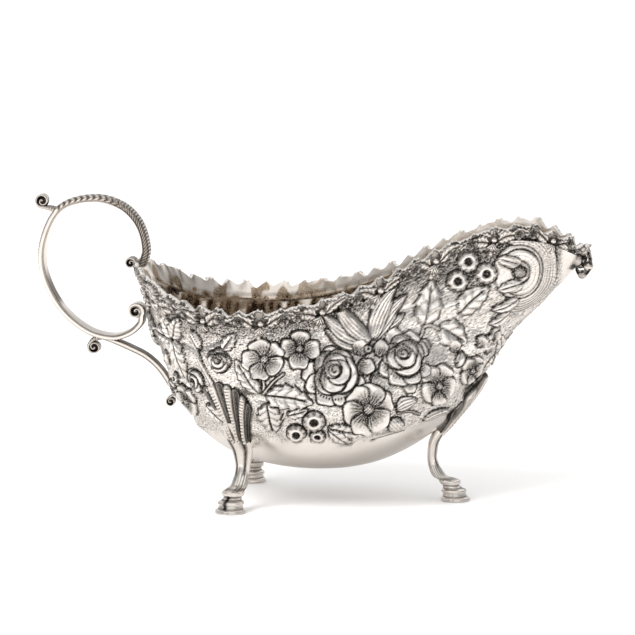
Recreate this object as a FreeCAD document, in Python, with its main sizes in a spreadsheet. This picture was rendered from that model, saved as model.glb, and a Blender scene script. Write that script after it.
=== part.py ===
import FreeCAD, Part
import math
import os

from FreeCAD import Placement, Rotation, Vector

# A silver sauce boat on three hoofed legs, in millimetres.
# +X points to the lip, +Z is up, the ground is Z = 0, and the origin is on the
# ground under the middle of the overall length.

# Driving dimensions: alias, value, what it is.
SIZES = (
    ("OverallLength", 229.0, "handle scroll to lip scroll"),
    ("WallThickness", 1.0, "raised silver sheet of the bowl"),
    ("BorderHeight", 7.2, "cast rim border, foot to point"),
    ("BorderFlare", 3.2, "how far the border leans outward"),
    ("BorderThickness", 1.3, "border casting"),
    ("ScallopDepth", 1.9, "notch between two points of the border"),
    ("ScallopPitch", 8.4, "point to point along the border"),
    ("HandleWidth", 8.6, "handle band, side to side"),
    ("HandleThickness", 2.6, "handle band, inside to outside"),
    ("StrapWidth", 7.6, "strap from the handle to the bowl"),
    ("StrapThickness", 2.1, "strap, inside to outside"),
    ("ScrollWidth", 6.4, "small scrolls, side to side"),
    ("ScrollBandShare", 0.34, "thickness of a scroll's strip as a share of its radius"),
    ("ThumbScrollRadius", 2.9, "scroll at the top of the handle"),
    ("RimScrollRadius", 2.0, "scroll where the handle meets the border"),
    ("LowerScrollRadius", 2.7, "scroll under the handle"),
    ("BodyScrollRadius", 1.9, "scroll at the foot of the strap"),
    ("LipScrollRadius", 3.0, "scroll under the lip"),
    ("LipScrollWidth", 9.0, "scroll under the lip, side to side"),
    ("LegHeight", 30.0, "ground to the top of a leg and the foot of its shell"),
    ("HoofLength", 10.8, "sole, heel to toe"),
    ("HoofWidth", 11.6, "sole, side to side"),
    ("FrontFootX", 58.8, "middle of the front sole"),
    ("RearFootX", -30.0, "middle of a rear sole"),
    ("RearFootY", 37.6, "middle of a rear sole, from the centre plane"),
    ("RearFootHeading", 244.0, "where a rear toe points, in degrees from +X"),
    ("ShellRadius", 22.0, "fan-shaped shell at the top of a leg"),
    ("ShellThickness", 1.7, "how far a shell stands off the bowl"),
    ("ShellLean", 13.0, "tilt of the rear shells towards the handle, in degrees"),
)

# The bowl's plan outline at rising levels:
# height, rear end, front end, half width, how much the front is drawn in.
LEVEL_COLUMNS = ("Height", "Rear", "Front", "Half", "Pinch")
LEVELS = (
    (14.3, -7.0, 12.0, 9.0, 0.0),
    (14.8, -15.0, 20.0, 14.0, 0.0),
    (18.0, -28.0, 31.0, 24.0, 0.0),
    (23.5, -39.0, 42.0, 33.5, 0.0),
    (30.5, -47.0, 52.0, 40.5, 0.02),
    (38.5, -53.0, 60.5, 45.0, 0.06),
    (47.0, -57.5, 67.0, 48.0, 0.12),
    (56.0, -61.0, 72.0, 49.5, 0.21),
    (66.0, -63.8, 77.8, 49.5, 0.33),
    (76.0, -66.0, 86.0, 50.5, 0.46),
    (86.0, -68.0, 97.0, 53.0, 0.55),
    (96.0, -70.5, 106.5, 55.5, 0.60),
    (106.0, -73.5, 111.5, 57.0, 0.62),
    (116.0, -77.0, 115.0, 58.0, 0.62),
)

# Height of the bowl's edge along its length: high at the handle, lowest behind the
# middle, and highest just before the pouring lip.
RIM_LINE = (
    (-74.0, 92.0), (-63.0, 85.5), (-50.0, 79.2), (-35.0, 77.3), (-16.0, 77.2), (6.0, 81.0),
    (29.0, 89.0), (52.0, 100.6), (72.0, 108.3), (86.0, 110.2), (100.0, 107.3), (113.0, 100.5),
)

# Centre line of the handle band, from the border round the loop to its inner end.
LOOP_LINE = (
    (-70.5, 96.0), (-68.8, 102.5), (-71.6, 113.0), (-78.5, 120.2), (-90.0, 123.4),
    (-104.0, 119.5), (-111.1, 106.5), (-111.4, 93.0), (-104.5, 78.6), (-93.5, 69.1),
    (-83.0, 66.2), (-74.8, 68.4), (-70.2, 74.0), (-71.6, 78.1), (-74.4, 76.6), (-73.2, 74.6),
)

# Centre line of the strap, from the loop down to the bowl's back.
STRAP_LINE = ((-84.5, 64.1), (-76.5, 62.2), (-68.8, 58.3), (-63.2, 53.2), (-58.6, 46.4))

# The leg in its own frame: the middle of the sole is its origin and the toe
# points to +X. Each station is a height as a share of the leg's height, the
# centre's place along the toe direction, and the radii along it and across it.
LEG_STATIONS = (
    (0.25, -4.0, 3.4, 3.9),
    (0.33, -6.2, 3.0, 3.4),
    (0.43, -8.4, 2.4, 3.2),
    (0.58, -9.7, 2.0, 3.4),
    (0.75, -9.5, 2.1, 4.4),
    (0.88, -8.2, 2.4, 5.4),
    (1.00, -5.6, 2.7, 6.4),
)

# The hoof: height in millimetres, the centre's place along the toe direction,
# and the share of the sole's length and width. Steps are pairs close in height.
HOOF_STATIONS = (
    (0.0, 0.0, 1.00, 1.00),
    (1.4, 0.0, 1.00, 1.00),
    (1.8, -0.3, 0.90, 0.90),
    (2.9, -0.5, 0.88, 0.88),
    (3.4, -0.8, 0.76, 0.76),
    (5.6, -1.8, 0.58, 0.60),
    (6.6, -2.2, 0.58, 0.60),
    (7.2, -2.0, 0.74, 0.74),
    (8.6, -2.4, 0.78, 0.74),
    (9.4, -3.2, 0.66, 0.66),
)

# How the front half of an outline is drawn in towards the lip: the share of the
# length where that starts and the share over which it grows, how much of the half
# width goes with it, and how much a drawn-in outline swells behind.
DRAWN_IN_FROM = 0.15
DRAWN_IN_OVER = 0.55
DRAWN_IN_WIDTH = 1.02
SWELL_BEHIND = 0.2

# The bowl's edge lies above this level everywhere.
LEVEL_BELOW_EDGE = 4.0

# A scroll's winding: its turns, the share of them before it starts to close in, and
# the radius of its eye as a share of the strip's thickness.
SCROLL_TURNS = 1.25
SCROLL_ROUND_SHARE = 0.4
SCROLL_EYE_SHARE = 0.55

# A shell's fan: lobes, the angle it spans, half the width of its foot, the reach of
# a valley between two lobes, and how fast the lobes shorten towards the sides.
SHELL_LOBES = 7
SHELL_SPREAD = 84.0
SHELL_FOOT_HALF = 4.6
SHELL_VALLEY = 0.93
SHELL_ROUNDING = 0.8

OUTLINE_POINTS = 48
BETWEEN_LEVELS = 2
RIM_SAMPLES = 60
BORDER_SAMPLES = 60


# ---------------------------------------------------------------- the sheet

def make_sheet(doc):
    """Write every driving dimension to the spreadsheet, one alias each."""
    sheet = doc.addObject("Spreadsheet::Sheet", "Sizes")
    rows = list(SIZES)
    for number, level in enumerate(LEVELS):
        for column, value in zip(LEVEL_COLUMNS, level):
            rows.append((level_alias(number, column), value, "bowl outline level"))
    for number, (place, height) in enumerate(RIM_LINE):
        rows.append((rim_alias(number, "Place"), place, "bowl edge, along the length"))
        rows.append((rim_alias(number, "Height"), height, "bowl edge, height"))
    for row, (alias, value, note) in enumerate(rows, start=1):
        sheet.set(f"A{row}", alias)
        sheet.set(f"B{row}", str(value))
        sheet.set(f"C{row}", note)
        sheet.setAlias(f"B{row}", alias)
    doc.recompute()
    return sheet


def level_alias(number, column):
    return f"Level_{number:02d}_{column}"


def rim_alias(number, column):
    return f"RimPoint_{number:02d}_{column}"


# ------------------------------------------------------------ smooth tables

def smooth(xs, ys, x):
    """Cubic curve through a table, with the slope at a point taken over its neighbours."""
    last = len(xs) - 1
    x = min(max(x, xs[0]), xs[last])
    left = max(i for i in range(last) if xs[i] <= x)
    right = left + 1
    span = xs[right] - xs[left]

    def slope(i):
        before, after = max(i - 1, 0), min(i + 1, last)
        return (ys[after] - ys[before]) / (xs[after] - xs[before])

    u = (x - xs[left]) / span
    return (
        ys[left] * (2 * u**3 - 3 * u**2 + 1)
        + slope(left) * span * (u**3 - 2 * u**2 + u)
        + ys[right] * (3 * u**2 - 2 * u**3)
        + slope(right) * span * (u**3 - u**2)
    )


class BowlForm:
    """The bowl's outer surface, as a function of the way round and the way up."""

    def __init__(self, sheet):
        self.stations = list(range(len(LEVELS)))
        self.columns = [
            [float(sheet.get(level_alias(i, column))) for i in self.stations]
            for column in LEVEL_COLUMNS
        ]
        count = range(len(RIM_LINE))
        self.rim_places = [float(sheet.get(rim_alias(i, "Place"))) for i in count]
        self.rim_heights = [float(sheet.get(rim_alias(i, "Height"))) for i in count]

    def rim_height(self, x):
        return smooth(self.rim_places, self.rim_heights, x)

    def point(self, angle, station):
        """A point at an angle round the bowl from the lip and at a level station."""
        height, rear, front, half, pinch = (
            smooth(self.stations, column, station) for column in self.columns
        )
        along = (1 + math.cos(angle)) / 2
        ramp = min(max((along - DRAWN_IN_FROM) / DRAWN_IN_OVER, 0.0), 1.0)
        drawn_in = DRAWN_IN_WIDTH * ramp * ramp * (3 - 2 * ramp)
        across = half * math.sin(angle) * (1 + pinch * (SWELL_BEHIND - drawn_in))
        return Vector(rear + (front - rear) * along, across, height)

    def normal(self, angle, station):
        """The outward normal, from two short steps along the surface."""
        step = 0.01
        low = max(station - step, 0)
        high = min(station + step, self.stations[-1])
        around = self.point(angle + step, station) - self.point(angle - step, station)
        upward = self.point(angle, high) - self.point(angle, low)
        return around.cross(upward).normalize()

    def outward(self, angle, station):
        """The outward direction in plan."""
        step = 0.01
        around = self.point(angle + step, station) - self.point(angle - step, station)
        return Vector(around.y, -around.x, 0).normalize()

    def rim_station(self, angle):
        """The station where the wall reaches the bowl's edge."""
        low, high = LEVEL_BELOW_EDGE, float(self.stations[-1])
        for _ in range(30):
            middle = (low + high) / 2
            here = self.point(angle, middle)
            if here.z < self.rim_height(here.x):
                low = middle
            else:
                high = middle
        return low


# ------------------------------------------------------------------ helpers

def closed_spline(points):
    """A closed smooth wire with evenly spaced parameters, so that lofts stay light."""
    curve = Part.BSplineCurve()
    steps = [float(i) for i in range(len(points) + 1)]
    curve.interpolate(Points=points, PeriodicFlag=True, Parameters=steps)
    return Part.Wire([curve.toShape()])


def open_spline(points):
    curve = Part.BSplineCurve()
    curve.interpolate(points)
    return curve


def loft_levels(form, offset, lowest, highest):
    """A solid through the bowl's levels, moved outward by offset along the normal."""
    count = len(LEVELS) - 1
    stations = [i / BETWEEN_LEVELS for i in range(count * BETWEEN_LEVELS + 1)]
    wires = []
    for station in stations:
        points = []
        for i in range(OUTLINE_POINTS):
            angle = 2 * math.pi * i / OUTLINE_POINTS
            point = form.point(angle, station) + form.normal(angle, station) * offset
            if station == stations[0]:
                point.z = lowest
            if station == stations[-1]:
                point.z = highest
            points.append(point)
        wires.append(closed_spline(points))
    return Part.makeLoft(wires, True, False)


def add_shape(doc, name, shape):
    feature = doc.addObject("Part::Feature", name)
    feature.Shape = shape
    return feature


def add_boolean(doc, kind, name, base, tool):
    """A Part::Cut or Part::Common of two objects of the document."""
    result = doc.addObject(kind, name)
    result.Base = base
    result.Tool = tool
    return result


def origin_plane(body, role):
    return next(feature for feature in body.Origin.OriginFeatures if feature.Role == role)


def add_sketch(body, name, role, edges):
    sketch = body.newObject("Sketcher::SketchObject", name)
    sketch.AttachmentSupport = (origin_plane(body, role), [""])
    sketch.MapMode = "FlatFace"
    for edge in edges:
        sketch.addGeometry(edge, False)
    return sketch


def add_pad(body, name, sketch, length):
    """A pad to both sides of its sketch, with its length bound to the sheet."""
    pad = body.newObject("PartDesign::Pad", name)
    pad.Profile = sketch
    pad.Midplane = True
    pad.setExpression("Length", length)
    return pad


# --------------------------------------------------------------------- bowl

def make_bowl_forms(doc, form, size):
    """The solids that the bowl, the shells and the legs are cut with."""
    bottom = LEVELS[0][0]
    top = LEVELS[-1][0]
    wall = size("WallThickness")
    outside = add_shape(doc, "BowlOutside", loft_levels(form, 0.0, bottom, top))
    inside = add_shape(doc, "BowlInside", loft_levels(form, -wall, bottom + wall, top + wall))
    skin = size("ShellThickness")
    around = add_shape(doc, "BowlSkin", loft_levels(form, skin, bottom - skin, top + skin))
    return outside, inside, around


def make_above_rim(doc, form):
    """Everything above the bowl's edge, as one block drawn from the side."""
    rear, front, top, half_depth = -95.0, 130.0, 140.0, 80.0

    def at(x, z):
        return Vector(x, -half_depth, z)

    first, last = RIM_LINE[0][0], RIM_LINE[-1][0]
    places = [first + (last - first) * i / RIM_SAMPLES for i in range(RIM_SAMPLES + 1)]
    edge = [at(x, form.rim_height(x)) for x in places]
    corners = [at(front, edge[-1].z), at(front, top), at(rear, top), at(rear, edge[0].z)]
    path = [edge[-1], *corners, edge[0]]
    sides = [Part.makeLine(start, end) for start, end in zip(path, path[1:])]
    face = Part.Face(Part.Wire([open_spline(edge).toShape(), *sides]))
    return add_shape(doc, "AboveRim", face.extrude(Vector(0, 2 * half_depth, 0)))


def make_bowl(doc, outside, inside, above):
    """The raised bowl: an open shell of sheet silver."""
    shell = add_boolean(doc, "Part::Cut", "BowlShell", outside, inside)
    return add_boolean(doc, "Part::Cut", "Bowl", shell, above)


# ------------------------------------------------------------------- border

def make_border(doc, form, size, name, side):
    """Half of the cast border: it stands on the bowl's edge, leans outward and
    ends in points with hollow scallops between them. side is -1 or +1 in Y."""
    tall, flare, thick = size("BorderHeight"), size("BorderFlare"), size("BorderThickness")
    wires, crest_points, outward_at = [], [], []
    for i in range(BORDER_SAMPLES + 1):
        angle = side * math.pi * i / BORDER_SAMPLES
        station = form.rim_station(angle)
        outward = form.outward(angle, station)
        foot_out = form.point(angle, station)
        foot_in = foot_out - outward * thick
        foot_in.z = form.rim_height(foot_in.x)
        top_out = foot_out + Vector(0, 0, tall) + outward * flare
        top_in = top_out - outward * thick
        wires.append(Part.makePolygon([foot_out, foot_in, top_in, top_out, foot_out]))
        crest_points.append(top_out)
        outward_at.append(outward)
    strip = Part.makeLoft(wires, True, False)

    crest = open_spline(crest_points)
    count = round(crest.length() / size("ScallopPitch"))
    pitch = crest.length() / count
    depth = size("ScallopDepth")
    radius = ((pitch / 2) ** 2 + depth**2) / (2 * depth)
    cutters = []
    for i in range(count):
        parameter = crest.parameterAtDistance((i + 0.5) * pitch)
        centre = crest.value(parameter)
        gaps = [(point - centre).Length for point in crest_points]
        nearest = gaps.index(min(gaps))
        outward = outward_at[nearest]
        start = centre + Vector(0, 0, radius - depth) - outward * (2 * thick)
        cutters.append(Part.makeCylinder(radius, 4 * thick, start, outward))
    strip_feature = add_shape(doc, f"{name}_strip", strip)
    scallops = cutters[0].fuse(cutters[1:])
    cutter_feature = add_shape(doc, f"{name}_scallops", scallops)
    return add_boolean(doc, "Part::Cut", name, strip_feature, cutter_feature)


# --------------------------------------------------- handle, strap, scrolls

def ribbon_edges(centres, thickness):
    """The outline of a strip of even thickness along a line of (x, z) points,
    as sketch geometry: a smooth curve down each side and a line across each end."""
    left, right = [], []
    last = len(centres) - 1
    for i, (x, z) in enumerate(centres):
        before, after = centres[max(i - 1, 0)], centres[min(i + 1, last)]
        along = Vector(after[0] - before[0], after[1] - before[1], 0).normalize()
        across = Vector(-along.y, along.x, 0) * (thickness / 2)
        left.append(Vector(x, z, 0) + across)
        right.append(Vector(x, z, 0) - across)
    return [
        open_spline(left),
        Part.LineSegment(left[-1], right[-1]),
        open_spline(right[::-1]),
        Part.LineSegment(right[0], left[0]),
    ]


def spiral(eye, radius, band, start, hand):
    """Centre line of a scroll of one and a quarter turns: half a turn round, then
    winding in to its eye. radius is to the outside of the strip, start is the
    direction of its outer end from the eye, and hand is 1 for counterclockwise."""
    steps = 20
    outer = radius - band / 2
    inner = band * SCROLL_EYE_SHARE
    points = []
    for i in range(steps + 1):
        share = i / steps
        winding = max(0.0, (share - SCROLL_ROUND_SHARE) / (1 - SCROLL_ROUND_SHARE))
        reach = outer + (inner - outer) * winding
        angle = math.radians(start + hand * 360 * SCROLL_TURNS * share)
        points.append((eye[0] + reach * math.cos(angle), eye[1] + reach * math.sin(angle)))
    return points


def make_ribbon(doc, name, centres, thickness, width_alias):
    """A strip of silver bent to a line in the centre plane: a body with one pad."""
    body = doc.addObject("PartDesign::Body", f"{name}_body")
    sketch = add_sketch(body, f"{name}_outline", "XZ_Plane", ribbon_edges(centres, thickness))
    add_pad(body, f"{name}_band", sketch, f"Sizes.{width_alias}")
    return body


def make_scroll(doc, name, eye, size, start, hand, stem, width_alias="ScrollWidth"):
    """A small scroll: a strip that leaves its stem and winds in to its eye."""
    radius = size(f"{name}Radius")
    band = radius * size("ScrollBandShare")
    centres = [*stem, *spiral(eye, radius, band, start, hand)]
    return make_ribbon(doc, name, centres, band, width_alias)


# ------------------------------------------------------------- legs, shells

def add_station(body, name, height, centre, along, across):
    """One horizontal ellipse of a leg or hoof, at a height bound to the sheet."""
    sketch = add_sketch(body, name, "XY_Plane", [])
    middle = Vector(centre, 0, 0)
    if along >= across:
        ellipse = Part.Ellipse(middle + Vector(along, 0, 0), middle + Vector(0, across, 0), middle)
    else:
        ellipse = Part.Ellipse(middle + Vector(0, across, 0), middle + Vector(-along, 0, 0), middle)
    sketch.addGeometry(ellipse, False)
    sketch.setExpression(".AttachmentOffset.Base.z", height)
    return sketch


def add_loft(body, name, sketches, ruled):
    loft = body.newObject("PartDesign::AdditiveLoft", name)
    loft.Profile = sketches[0]
    loft.Sections = sketches[1:]
    loft.Ruled = ruled
    return loft


def make_leg_body(doc, name, size, place):
    """A cabriole leg with a hoof, cast in one piece, before it is fitted to the bowl."""
    body = doc.addObject("PartDesign::Body", f"{name}_casting")
    hoof = [
        add_station(
            body, f"{name}_hoof_{i}", f"{height} mm", centre,
            size("HoofLength") / 2 * long_share, size("HoofWidth") / 2 * wide_share,
        )
        for i, (height, centre, long_share, wide_share) in enumerate(HOOF_STATIONS)
    ]
    add_loft(body, f"{name}_hoof", hoof, True)
    shank = [
        add_station(body, f"{name}_shank_{i}", f"Sizes.LegHeight * {share}", centre, along, across)
        for i, (share, centre, along, across) in enumerate(LEG_STATIONS)
    ]
    add_loft(body, f"{name}_shank", shank, False)
    body.Placement = place
    return body


def shell_edges(radius, foot_height):
    """A fan of lobes in the leg's YZ plane, as arcs from valley to valley.
    The middle lobes are the longest."""
    foot = Vector(0, foot_height, 0)

    def at(reach, degrees):
        angle = math.radians(degrees)
        return foot + Vector(reach * math.sin(angle), reach * math.cos(angle), 0)

    def rim_point(lobe, share):
        degrees = SHELL_SPREAD * (lobe / SHELL_LOBES - 0.5)
        shortened = math.cos(math.radians(degrees * SHELL_ROUNDING))
        return at(radius * share * shortened, degrees)

    valleys = [rim_point(i, SHELL_VALLEY) for i in range(SHELL_LOBES + 1)]
    tips = [rim_point(i + 0.5, 1.0) for i in range(SHELL_LOBES)]
    half_foot = Vector(SHELL_FOOT_HALF, 0, 0)
    start, end = foot - half_foot, foot + half_foot
    arcs = [Part.Arc(valleys[i], tips[i], valleys[i + 1]) for i in range(SHELL_LOBES)]
    return [
        Part.LineSegment(start, valleys[0]),
        *arcs,
        Part.LineSegment(valleys[-1], end),
        Part.LineSegment(end, start),
    ]


def make_shell(doc, name, size, place, lean, around, outside):
    """A lobed shell that lies on the bowl's wall above a leg."""
    body = doc.addObject("PartDesign::Body", f"{name}_block")
    foot_height = size("LegHeight")
    edges = shell_edges(size("ShellRadius"), foot_height)
    sketch = add_sketch(body, f"{name}_fan", "YZ_Plane", edges)
    add_pad(body, f"{name}_through", sketch, "Sizes.LegHeight * 1.6")
    foot = Vector(0, 0, foot_height)
    tilt = Placement(Vector(), Rotation(Vector(1, 0, 0), lean), foot)
    body.Placement = place.multiply(tilt)
    layer = add_boolean(doc, "Part::Cut", f"{name}_layer", around, outside)
    return add_boolean(doc, "Part::Common", name, body, layer)


# ----------------------------------------------------------------- assembly

def build(doc):
    """Make every sub-part and return {node name: object}."""
    sheet = make_sheet(doc)

    def size(alias):
        return float(sheet.get(alias))

    form = BowlForm(sheet)
    half_length = size("OverallLength") / 2
    outside, inside, around = make_bowl_forms(doc, form, size)
    above = make_above_rim(doc, form)
    parts = {"bowl": make_bowl(doc, outside, inside, above)}
    parts["rim_border_right"] = make_border(doc, form, size, "BorderRight", -1)
    parts["rim_border_left"] = make_border(doc, form, size, "BorderLeft", 1)

    parts["handle_loop"] = make_ribbon(
        doc, "Loop", LOOP_LINE, size("HandleThickness"), "HandleWidth"
    )
    parts["handle_strap"] = make_ribbon(
        doc, "Strap", STRAP_LINE, size("StrapThickness"), "StrapWidth"
    )
    thumb_eye = (-half_length + size("ThumbScrollRadius"), 121.8)
    lip_eye = (half_length - size("LipScrollRadius"), 97.4)
    parts["thumb_scroll"] = make_scroll(
        doc, "ThumbScroll", thumb_eye, size, -90, -1, [(-105.9, 117.4), (-108.6, 118.9)]
    )
    parts["rim_scroll"] = make_scroll(
        doc, "RimScroll", (-74.9, 97.0), size, 20, 1, [(-70.3, 96.3), (-72.0, 96.6)]
    )
    parts["lower_scroll"] = make_scroll(
        doc, "LowerScroll", (-90.0, 61.6), size, 150, 1, [(-88.6, 65.2), (-90.8, 64.2)]
    )
    parts["body_scroll"] = make_scroll(
        doc, "BodyScroll", (-58.6, 39.4), size, 110, 1, [(-56.9, 44.8), (-57.4, 42.6)]
    )
    parts["lip_scroll"] = make_scroll(
        doc, "LipScroll", lip_eye, size, 180, 1, [(110.8, 103.6), (109.6, 100.6)],
        "LipScrollWidth",
    )

    heading = size("RearFootHeading")
    feet = (
        ("front", size("FrontFootX"), 0.0, 0.0, 0.0),
        ("rear_right", size("RearFootX"), -size("RearFootY"), heading, 1.0),
        ("rear_left", size("RearFootX"), size("RearFootY"), -heading, -1.0),
    )
    for where, x, y, turn, hand in feet:
        place = Placement(Vector(x, y, 0), Rotation(Vector(0, 0, 1), turn))
        casting = make_leg_body(doc, f"Leg_{where}", size, place)
        parts[f"leg_{where}"] = add_boolean(
            doc, "Part::Cut", f"Leg_{where}_fitted", casting, outside
        )
        lean = hand * size("ShellLean")
        parts[f"shell_{where}"] = make_shell(
            doc, f"Shell_{where}", size, place, lean, around, outside
        )
    for node, feature in parts.items():
        feature.Label = node
    return parts


def check(doc, parts):
    """Stop if any object failed or any sub-part isn't one or more valid solids."""
    for feature in doc.Objects:
        if any(word in feature.State for word in ("Invalid", "Error")):
            raise RuntimeError(f"{feature.Name} did not compute: {feature.State}")
    for node, feature in parts.items():
        shape = feature.Shape
        if shape.isNull() or not shape.isValid() or not shape.Solids:
            raise RuntimeError(f"{node} has no valid solid")


def main():
    doc = FreeCAD.newDocument("SauceBoat")
    parts = build(doc)
    doc.recompute()
    check(doc, parts)
    os.makedirs("parts", exist_ok=True)
    for node, feature in parts.items():
        feature.Shape.exportStep(os.path.join("parts", f"{node}.step"))
        box = feature.Shape.BoundBox
        print(f"{node}: {len(feature.Shape.Solids)} solid, {feature.Shape.Volume:.0f} mm3,"
              f" x {box.XMin:.1f}..{box.XMax:.1f} y {box.YMin:.1f}..{box.YMax:.1f}"
              f" z {box.ZMin:.1f}..{box.ZMax:.1f}")


main()
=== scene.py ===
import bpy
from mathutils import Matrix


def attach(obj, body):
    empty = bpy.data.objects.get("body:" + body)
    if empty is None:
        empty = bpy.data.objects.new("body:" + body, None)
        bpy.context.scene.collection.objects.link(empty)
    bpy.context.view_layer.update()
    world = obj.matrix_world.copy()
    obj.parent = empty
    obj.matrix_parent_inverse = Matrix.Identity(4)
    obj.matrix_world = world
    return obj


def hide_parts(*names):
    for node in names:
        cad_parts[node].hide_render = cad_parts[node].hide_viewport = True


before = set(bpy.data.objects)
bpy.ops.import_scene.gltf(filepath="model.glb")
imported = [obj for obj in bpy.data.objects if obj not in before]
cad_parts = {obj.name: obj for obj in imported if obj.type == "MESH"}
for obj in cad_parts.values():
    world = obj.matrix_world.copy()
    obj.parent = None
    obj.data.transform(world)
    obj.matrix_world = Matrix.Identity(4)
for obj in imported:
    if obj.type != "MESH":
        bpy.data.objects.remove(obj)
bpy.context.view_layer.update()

import copy

import bpy
import numpy as np
from mathutils import Vector
from mathutils.bvhtree import BVHTree
from numpy import clip, cos, hypot, linspace, pi, radians, sin, sqrt

# A chased silver sauce boat. Shapes are worked out in millimetres, in the frame of
# the CAD model, and written to Blender in metres. Side -1 is the right side of the
# boat, towards -Y, and side 1 the left.

MM = 0.001
RIGHT, LEFT = -1, 1
UP = np.array([0, 0, 1.0])


# ------------------------------------------------------------- smooth tables

def smooth(xs, ys, x):
    """Cubic curve through a table, with the slope at a point taken over its neighbours."""
    xs, ys = np.asarray(xs, float), np.asarray(ys, float)
    last = len(xs) - 1
    x = clip(np.asarray(x, float), xs[0], xs[last])
    left = clip(np.searchsorted(xs, x, side="right") - 1, 0, last - 1)
    span = xs[left + 1] - xs[left]
    before = np.maximum(np.arange(last + 1) - 1, 0)
    after = np.minimum(np.arange(last + 1) + 1, last)
    slope = (ys[after] - ys[before]) / (xs[after] - xs[before])
    u = (x - xs[left]) / span
    return (
        ys[left] * (2 * u**3 - 3 * u**2 + 1)
        + slope[left] * span * (u**3 - 2 * u**2 + u)
        + ys[left + 1] * (3 * u**2 - 2 * u**3)
        + slope[left + 1] * span * (u**3 - u**2)
    )


def step(low, high, x):
    """0 below low, 1 above high and a smooth ramp between."""
    t = clip((np.asarray(x, float) - low) / (high - low), 0.0, 1.0)
    return t * t * (3 - 2 * t)


def unit(vectors):
    return vectors / np.maximum(np.linalg.norm(vectors, axis=-1, keepdims=True), 1e-9)


def bell(x, width):
    """1 at x = 0, falling away smoothly on both sides within about a width."""
    return np.exp(-((x / width) ** 2))


def dome(x):
    """The height of a half ball of radius 1 at x from its middle, and 0 outside it."""
    return sqrt(clip(1 - x**2, 0, 1))


# ------------------------------------------------------------ the bowl's form

# The bowl's plan outline at rising levels, as in the CAD model:
# height, rear end, front end, half width, how much the front is drawn in.
LEVELS = np.array((
    (14.3, -7.0, 12.0, 9.0, 0.0),
    (14.8, -15.0, 20.0, 14.0, 0.0),
    (18.0, -28.0, 31.0, 24.0, 0.0),
    (23.5, -39.0, 42.0, 33.5, 0.0),
    (30.5, -47.0, 52.0, 40.5, 0.02),
    (38.5, -53.0, 60.5, 45.0, 0.06),
    (47.0, -57.5, 67.0, 48.0, 0.12),
    (56.0, -61.0, 72.0, 49.5, 0.21),
    (66.0, -63.8, 77.8, 49.5, 0.33),
    (76.0, -66.0, 86.0, 50.5, 0.46),
    (86.0, -68.0, 97.0, 53.0, 0.55),
    (96.0, -70.5, 106.5, 55.5, 0.60),
    (106.0, -73.5, 111.5, 57.0, 0.62),
    (116.0, -77.0, 115.0, 58.0, 0.62),
))
TOP_STATION = len(LEVELS) - 1
# The station up to which the bowl is plain. The bowl's edge lies above it everywhere.
CHASED_FROM = 4.0

# Height of the bowl's edge along its length.
RIM_LINE = np.array((
    (-74.0, 92.0), (-63.0, 85.5), (-50.0, 79.2), (-35.0, 77.3), (-16.0, 77.2), (6.0, 81.0),
    (29.0, 89.0), (52.0, 100.6), (72.0, 108.3), (86.0, 110.2), (100.0, 107.3), (113.0, 100.5),
))

WALL = 1.0
SMALL = 0.01


def bowl_point(angle, station):
    """Points on the bowl's outside, at angles from the lip and at level stations."""
    stations = np.arange(len(LEVELS))
    height, rear, front, half, pinch = (smooth(stations, column, station) for column in LEVELS.T)
    along = (1 + cos(angle)) / 2
    drawn_in = step(0.15, 0.70, along)
    across = half * sin(angle) * (1 + 0.2 * pinch - 1.02 * pinch * drawn_in)
    return np.stack([rear + (front - rear) * along, across, height + 0 * along], -1)


def bowl_around(angle, station):
    """A short step round the bowl at each point."""
    return bowl_point(angle + SMALL, station) - bowl_point(angle - SMALL, station)


def bowl_normal(angle, station):
    """Outward normals, from two short steps along the surface."""
    high, low = np.minimum(station + SMALL, TOP_STATION), np.maximum(station - SMALL, 0)
    up = bowl_point(angle, high) - bowl_point(angle, low)
    return unit(np.cross(bowl_around(angle, station), up))


def rim_height(x):
    return smooth(RIM_LINE[:, 0], RIM_LINE[:, 1], x)


HALVINGS = 30


def rim_station(angle):
    """The station where the wall reaches the bowl's edge."""
    low = np.full(np.shape(angle), CHASED_FROM)
    high = np.full(np.shape(angle), float(TOP_STATION))
    for _ in range(HALVINGS):
        middle = (low + high) / 2
        here = bowl_point(angle, middle)
        below = here[..., 2] < rim_height(here[..., 0])
        low, high = np.where(below, middle, low), np.where(below, high, middle)
    return low


# ------------------------------------------------------------------- meshes

class Solid:
    """Points, faces and values per point of one or more closed surfaces."""

    def __init__(self):
        self.points, self.faces, self.tones, self.count = [], [], [], 0

    def add(self, points, faces, tone=0.0):
        points = np.asarray(points, float).reshape(-1, 3)
        tone = np.broadcast_to(np.asarray(tone, float).reshape(-1), (len(points),))
        self.points.append(points)
        self.tones.append(tone)
        for group in faces:
            self.faces += (np.asarray(group) + self.count).tolist()
        self.count += len(points)

    def add_rings(self, rings, tone=0.0, turned=False):
        """A tube of closed rings, capped at both ends by a point in the middle.
        rings is an array: ring, point of the ring, xyz."""
        rows, columns = rings.shape[:2]
        ends = [rings[0].mean(0), rings[-1].mean(0)]
        tone = np.broadcast_to(tone, (rows, columns))
        tones = np.concatenate([tone.reshape(-1), [tone[0].mean(), tone[-1].mean()]])
        points = np.concatenate([rings.reshape(-1, 3), ends])
        self.add(points, tube_faces(rows, columns, turned), tones)

    def build(self, name, material, node_name):
        mesh = bpy.data.meshes.new(name)
        mesh.from_pydata(np.concatenate(self.points) * MM, [], self.faces)
        mesh.validate()
        tone = mesh.attributes.new("tarnish_and_shade", "FLOAT", "POINT")
        tone.data.foreach_set("value", np.concatenate(self.tones).astype(np.float32))
        mesh.shade_smooth()
        piece = bpy.data.objects.new(name, mesh)
        bpy.context.scene.collection.objects.link(piece)
        mesh.materials.append(material)
        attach(piece, "root")
        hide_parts(node_name)
        return piece


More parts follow.
